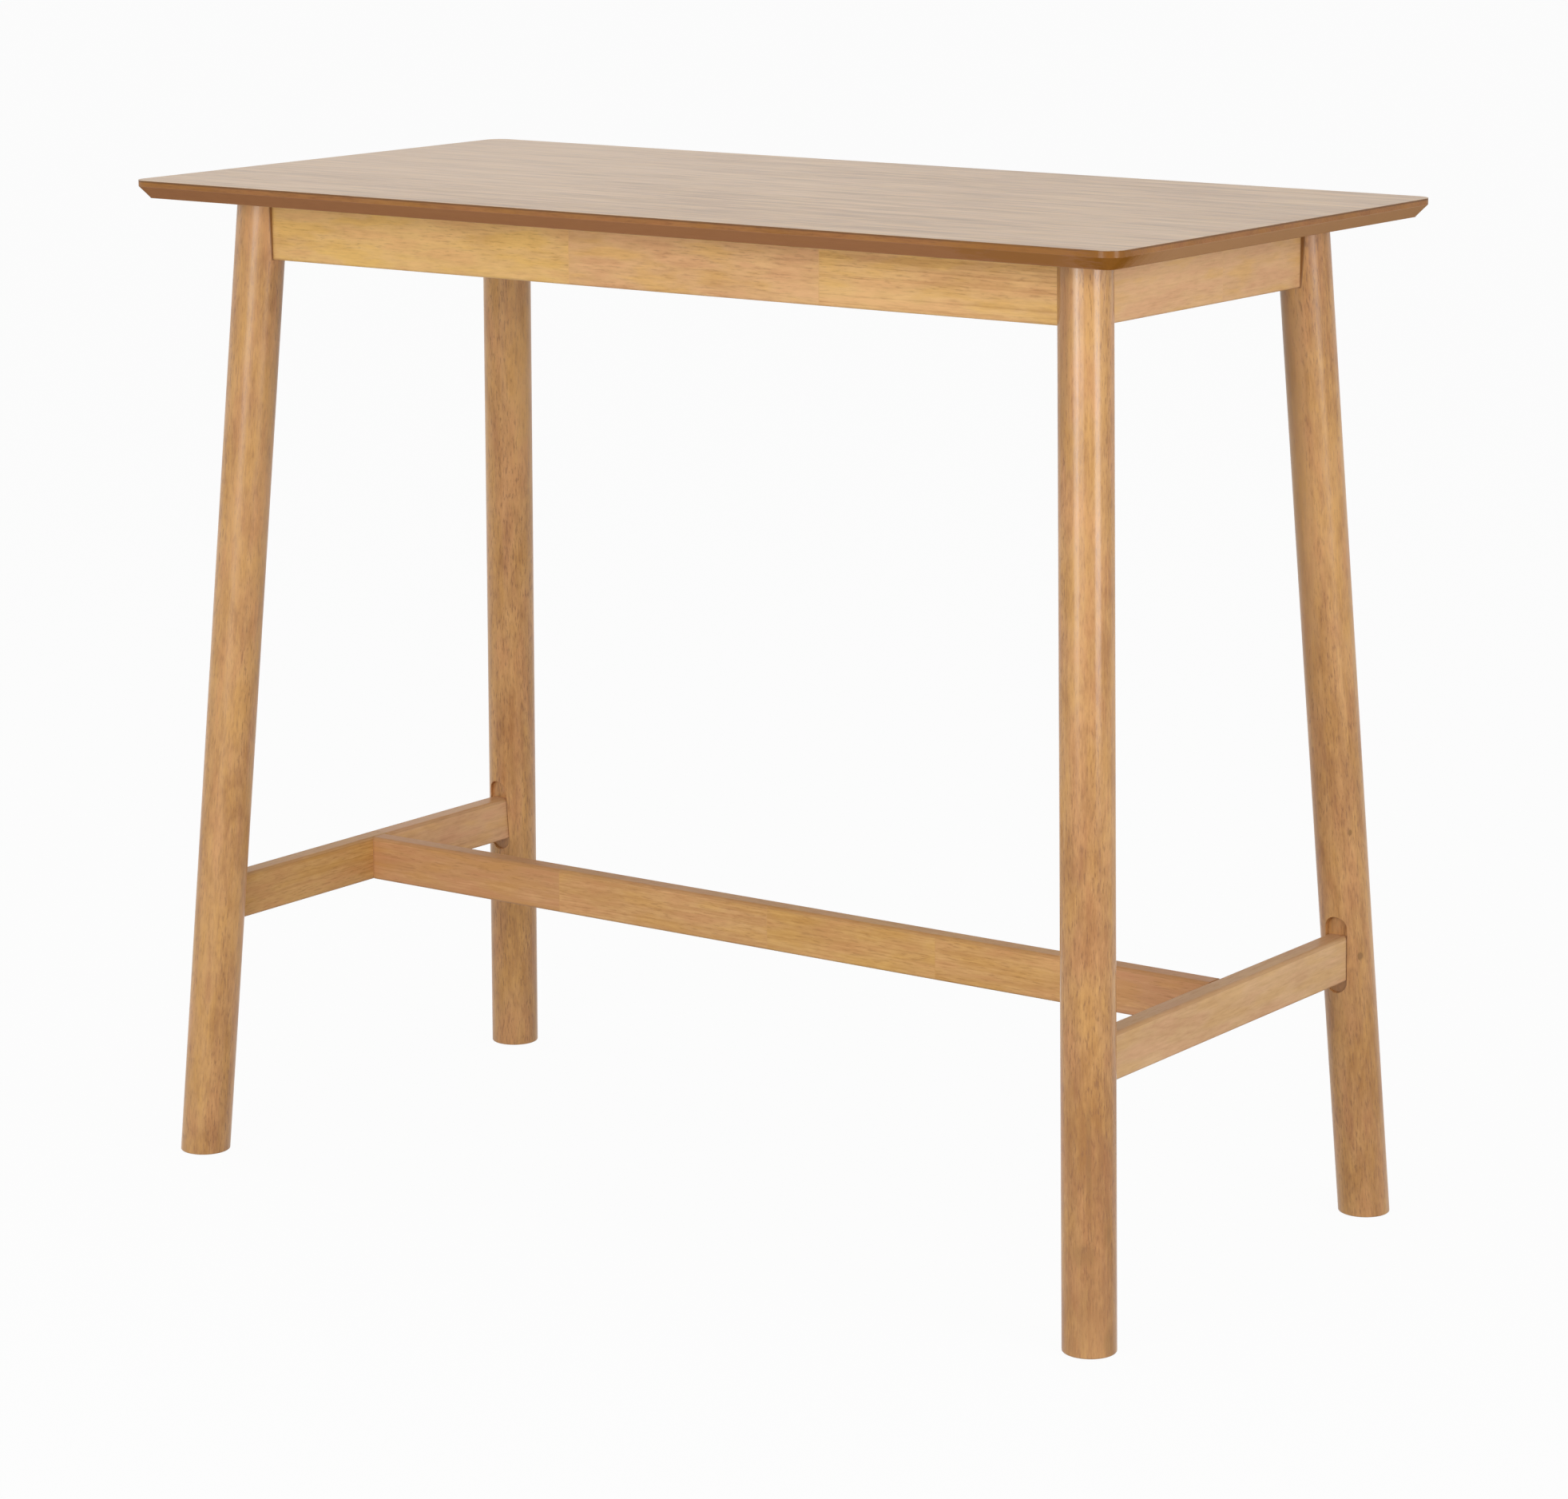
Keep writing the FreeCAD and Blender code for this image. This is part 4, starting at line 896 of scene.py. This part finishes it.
hardware = {
    "corner_block_screws": {"tree": "screw", "slot": "zinc_steel", "sizes": {}},
    "tabletop_screws": {"tree": "screw", "slot": "zinc_steel",
                        "sizes": {"head radius": 0.0045, "head height": 0.0035, "thread radius": 0.0025,
                                  "length": 0.05, "pitch": 0.0022, "plain": 0.018, "fineness": 0.00036}},
    "bracket_apron_screws": {"tree": "screw", "slot": "zinc_steel",
                             "sizes": {"head height": 0.0025, "length": 0.015, "plain": 0.0025}},
    "bracket_top_screws": {"tree": "screw", "slot": "zinc_steel",
                           "sizes": {"head height": 0.0025, "length": 0.015, "plain": 0.0025}},
    "leg_hanger_bolts": {"tree": "hanger", "slot": "zinc_steel", "sizes": {"length": 0.0821}},
    "stretcher_studs": {"tree": "stud", "slot": "zinc_steel",
                        "sizes": {"thread radius": 0.003, "length": 0.05, "machine pitch": 0.001,
                                  "plain": 0.06, "point": 0.0008, "core share": 0.84}},
    "leg_bolt_nuts": {"tree": "nut", "slot": "zinc_steel", "sizes": {}},
    "stretcher_nuts": {"tree": "nut", "slot": "zinc_steel",
                       "sizes": {"flats": 0.01, "height": 0.005, "hole radius": 0.0032}},
    "apron_dowels": {"tree": "dowel", "slot": "dowel_wood", "sizes": {}},
    "stretcher_dowels": {"tree": "dowel", "slot": "dowel_wood",
                         "sizes": {"radius": 0.004, "length": 0.03, "flutes": 16}},
}

spacing = {
    "blockScrewGrip": 0.012,  # block under the screws' heads
    "blockScrewSpread": 0.014,
    "blockThickness": 0.024,
    "blockFromLeg": 0.0465,  # the block's middle from the leg's, along the bolt
    "topScrewGrip": 0.036,
    "topScrewSpread": 0.018,
    "bracketSteel": 0.002,
    "bracketHole": 0.018,  # from the bracket's bend
    "bracketOffset": 0.19,
    "boltEnd": 0.0706,  # from the leg's middle
    "boltNut": 0.06335,
    "apronDowelBite": 0.0175,
    "apronDowelSpread": 0.018,
    "studEnd": 0.037,  # from the end stretcher's inner face
    "studNut": 0.0325,
    "stretcherDowelReach": 0.018,
    "stretcherDowelSpread": 0.015,
}


def pair(middle, spread):
    return middle - spread, middle + spread


def quarterPlaces(gaps):
    # where each fastener starts in the back right quarter, and the way it points
    insideX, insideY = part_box("right_apron")[0].x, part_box("back_apron")[0].y
    seatX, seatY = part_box("back_apron")[1].x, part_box("right_apron")[1].y
    legX, legY, apronZ = boxCentre("right_apron").x, boxCentre("back_apron").y, boxCentre("right_apron").z
    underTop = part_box("right_apron")[1].z
    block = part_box("back_right_corner_block")[0]
    railX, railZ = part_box("right_end_stretcher")[0].x, boxCentre("centre_stretcher").z

    slant = math.sqrt(0.5)
    wingX, wingY = block.x + gaps["blockThickness"] * slant, block.y + gaps["blockThickness"] * slant
    headX, headY = insideX - gaps["blockScrewGrip"], insideY - gaps["blockScrewGrip"]
    near, far = (reach * slant for reach in pair(gaps["blockFromLeg"], gaps["topScrewSpread"]))
    topZ = underTop - gaps["topScrewGrip"]
    steel, hole, offset = gaps["bracketSteel"], gaps["bracketHole"], gaps["bracketOffset"]
    end, nut = gaps["boltEnd"] * slant, gaps["boltNut"] * slant
    bite = gaps["apronDowelBite"]
    screwRows = pair(boxCentre("back_right_corner_block").z, gaps["blockScrewSpread"])
    dowelRows = pair(apronZ, gaps["apronDowelSpread"])
    railRows = pair(railZ, gaps["stretcherDowelSpread"])

    right, back, up, slanted = (1.0, 0.0, 0.0), (0.0, 1.0, 0.0), (0.0, 0.0, 1.0), (1.0, 1.0, 0.0)
    return {
        "corner_block_screws": [*(((headX, wingY, z), right) for z in screwRows),
                                *(((wingX, headY, z), back) for z in screwRows)],
        "tabletop_screws": [((legX - near, legY - far, topZ), up), ((legX - far, legY - near, topZ), up)],
        "bracket_apron_screws": [((insideX - steel, 0.0, underTop - hole), right),
                                 ((offset, insideY - steel, underTop - hole), back)],
        "bracket_top_screws": [((insideX - hole, 0.0, underTop - steel), up),
                               ((offset, insideY - hole, underTop - steel), up)],
        "leg_hanger_bolts": [((legX - end, legY - end, apronZ), slanted)],
        "stretcher_studs": [((railX - gaps["studEnd"], 0.0, railZ), right)],
        "leg_bolt_nuts": [((legX - nut, legY - nut, apronZ), slanted)],
        "stretcher_nuts": [((railX - gaps["studNut"], 0.0, railZ), right)],
        "apron_dowels": [*(((legX, seatY - bite, z), back) for z in dowelRows),
                         *(((seatX - bite, legY, z), right) for z in dowelRows)],
        "stretcher_dowels": [((railX - gaps["stretcherDowelReach"], 0.0, z), right) for z in railRows],
    }


def mirrored(places):
    # every fastener is repeated about the table's two middle planes
    whole = []
    for (x, y, z), (toX, toY, toZ) in places:
        for sideX in (1.0, -1.0):
            for sideY in (1.0, -1.0):
                one = ((sideX * x, sideY * y, z), (sideX * toX, sideY * toY, toZ))
                if one not in whole:
                    whole.append(one)
    return whole


def makeHardware(values, places, trees, materials):
    for name, look in values.items():
        points = mirrored(places[name])
        marks = bpy.data.meshes.new(name + "_points")
        marks.from_pydata([point for point, direction in points], [], [])
        directions = marks.attributes.new("direction", "FLOAT_VECTOR", "POINT")
        directions.data.foreach_set("vector", [part for point, direction in points for part in direction])
        piece = bpy.data.objects.new(name + "_shown", marks)
        scene.collection.objects.link(piece)
        modifier = piece.modifiers.new("build", "NODES")
        modifier.node_group = trees[look["tree"]]
        keys = {item.name: item.identifier for item in modifier.node_group.interface.items_tree
                if item.in_out == "INPUT"}
        for size, value in look["sizes"].items():
            modifier[keys[size]] = value
        modifier[keys["Material"]] = materials[look["slot"]]
        graph = bpy.context.evaluated_depsgraph_get()
        mesh = bpy.data.meshes.new_from_object(piece.evaluated_get(graph), depsgraph=graph)
        piece.modifiers.clear()
        piece.data = mesh
        mesh.shade_smooth()
        mesh.set_sharp_from_angle(angle=sharpAngle)
        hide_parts(name)
        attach(piece, "root")
        print("hardware:", name, len(points), "of", len(mesh.polygons), "faces")


makeHardware(hardware, quarterPlaces(spacing),
             {"screw": screwTree(), "hanger": rodTree("hanger_bolt", 0.03),
              "stud": rodTree("threaded_stud", 0.055), "nut": nutTree(), "dowel": dowelTree()},
             {"zinc_steel": finishes["zincPlate"], "dowel_wood": dowelWood})
